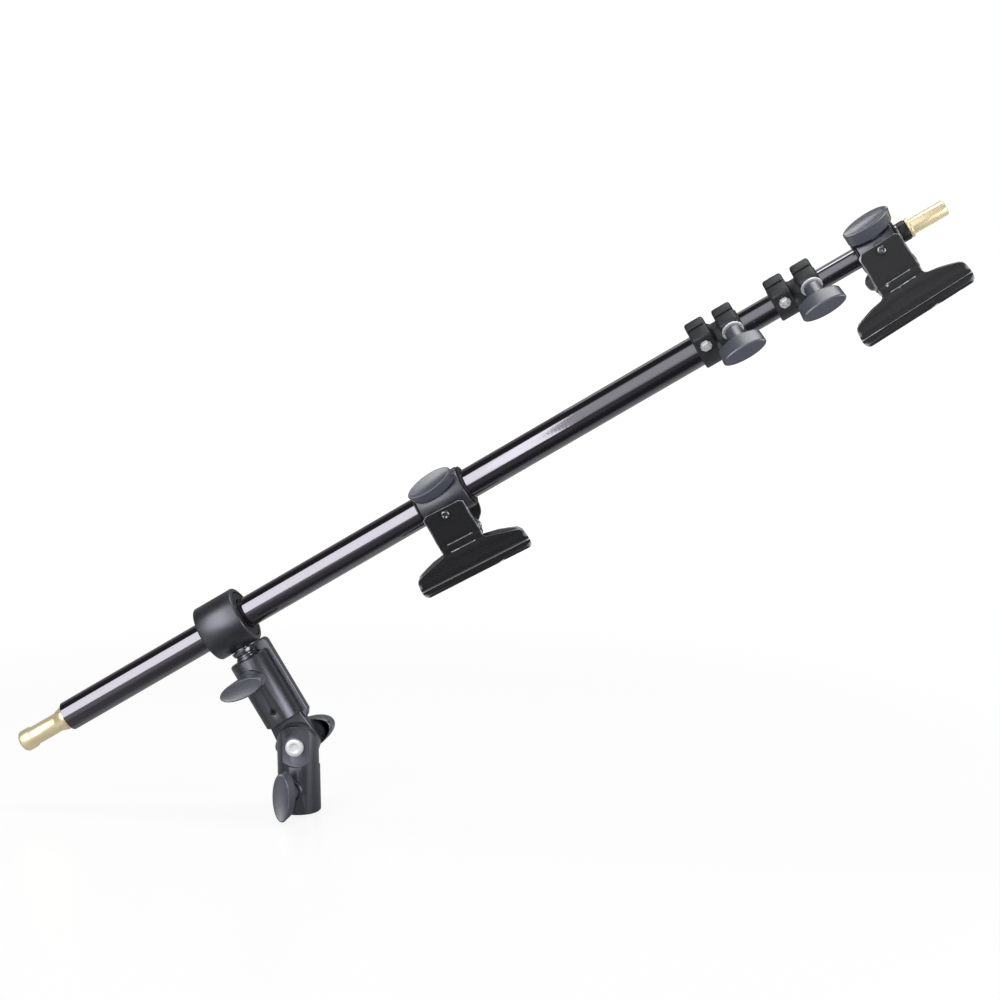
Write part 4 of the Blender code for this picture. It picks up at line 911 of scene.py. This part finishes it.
# The side flange's depth by the distance below the rivet: a low wall that widens to an ear
FLANGE = (
    (3.0, 1.2),
    (9.0, 1.8),
    (13.5, 3.0),
    (17.0, 7.4),
    (19.0, 11.0),
    (20.4, 12.3),
    (22.0, 12.6),
    (23.6, 12.2),
    (25.0, 10.8),
    (26.5, 7.0),
)
for label, along, radius, bore, half, roll, drop, shift, swing in CLIPS:
    seat = on_boom(along, roll) @ Matrix.Translation((shift * MM, 0, -drop * MM))
    jaw_seat = seat @ Matrix.Rotation(math.radians(swing), 4, "Y")
    plate = -radius - 0.8
    middle = plate - 0.6
    # The rows lie closer at the ribs, the neck's corners and the lip, where the sheet bends most
    drops = [-5.0, -3.9, -2.8, -1.0, 1.0, 3.0, 5.0, 7.0, 9.0, 11.0, 13.5, 15.5, 17.0, 19.0]
    drops += [20.4, 20.9, 21.2, 21.6, 21.9, 22.4, 23.6, 25.0, 26.5, 27.0, 27.3, 27.7, 28.1, 28.5]
    drops += [29.1, 29.9, 31.4, 32.9, 34.3, 35.1, 36.3, 37.4, 38.5, 40.5, 42.5, 44.3]
    drops += [44.7, 45.1, 45.5, 45.9, 46.3, 46.8, 48.2, 50.1, 51.4, 52.1, 52.5]
    rows = []
    for depth in drops:
        y, z = middle, -depth
        if depth > LIP:
            y = middle + (depth - LIP) * math.sin(LIP_TURN)
            z = -LIP - (depth - LIP) * math.cos(LIP_TURN)
        bead = max(0.0, 1.0 - abs(depth - LIP) / 0.9)
        rows.append((blank_half(depth), y - 0.8 * bead, z))
    shape = pressed(rows, 36)
    for point in shape.verts:
        near = min(abs(-point.co.z - rib) for rib in RIBS)
        if near < 0.25 and abs(point.co.x) < RIB_HALF:
            point.co.y -= 0.85
    folded(shape, -2.9, -26.6, lambda depth: between(FLANGE, depth))
    sheet_piece(label + "_plate", shape, jaw_seat, label + "_front", label + "_front_jaw")

    pin_y, pin_z = plate + PIN_BACK, -PIN_DROP
    foot_y = plate + (FOOT - LIP) * math.sin(LIP_TURN) + 0.7
    neck = NECK - 2.1
    line = [
        (14.5, pin_y + 33.0, pin_z + 8.5),
        (16.6, pin_y + 32.4, pin_z + 7.2),
        (17.9, pin_y + 31.5, pin_z + 5.8),
        (18.9, pin_y + 30.2, pin_z + 4.4),
        (TAB_HALF, pin_y + 28.5, pin_z + 3.2),
        (TAB_HALF, pin_y + 26.4, pin_z + 2.1),
        (TAB_HALF, pin_y + 24.0, pin_z + 1.2),
        (19.3, pin_y + 21.0, pin_z + 0.1),
        (18.3, pin_y + 18.0, pin_z - 0.8),
        (16.2, pin_y + 14.0, pin_z - 1.5),
        (neck, pin_y + 10.0, pin_z - 2.2),
        (neck - 0.3, pin_y + 3.5, pin_z - 3.6),
        (neck - 0.3, pin_y + 1.6, pin_z - 4.3),
        (neck - 0.3, pin_y + 0.3, pin_z - 5.6),
        (neck - 0.3, pin_y - 0.6, pin_z - 7.4),
    ]
    blade = [
        (pin_y - 1.6, pin_z - 9.6),
        (pin_y - 2.8, pin_z - 11.4),
        (pin_y - 3.8, pin_z - 13.4),
        (pin_y - 4.8, pin_z - 16.2),
        (pin_y - 5.4, pin_z - 19.0),
        (pin_y - 5.7, pin_z - 22.4),
        (foot_y + 0.7, -LIP - 2.2),
        (foot_y, -FOOT + 2.2),
        (foot_y - 0.1, -FOOT + 0.6),
    ]
    line += [(blank_half(-z) - 0.6, y, z) for y, z in blade]
    shape = pressed(line, 28)
    # The finger tab is dished across, so that it is stiff and sits under the thumb
    for point in shape.verts:
        if point.co.y > pin_y + 14:
            spread = abs(point.co.x) / TAB_HALF
            point.co.z += 1.2 * spread**2 * min(1.0, (point.co.y - pin_y - 14) / 10)
    sheet_piece(label + "_tab", shape, jaw_seat, label + "_rear", label + "_rear_jaw")
    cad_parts[label + "_pin"].data.materials[0] = zinc
    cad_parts[label + "_spring"].data.materials[0] = zinc

    # The rivet is a hollow one of bare steel, set over the plate
    rivet = [
        (-plate - 3.0, 0.0),
        (-plate - 3.0, 1.6),
        (-plate + 1.5, 1.6),
        (-plate + 1.5, 3.2),
        (-plate + 1.9, 3.3),
        (-plate + 2.4, 3.0),
        (-plate + 2.85, 2.4),
        (-plate + 2.9, 1.9),
        (-plate + 2.6, 1.5),
        (-plate + 2.1, 1.1),
        (-plate + 2.0, 0.0),
    ]
    outward = seat @ Matrix.Rotation(math.radians(-90), 4, "Z")
    head = turned(rivet, closed=False, steps=48)
    name = label + "_rivet_head"
    hand_over(name, head, outward, bare_steel, label + "_mount", [label + "_rivet"])
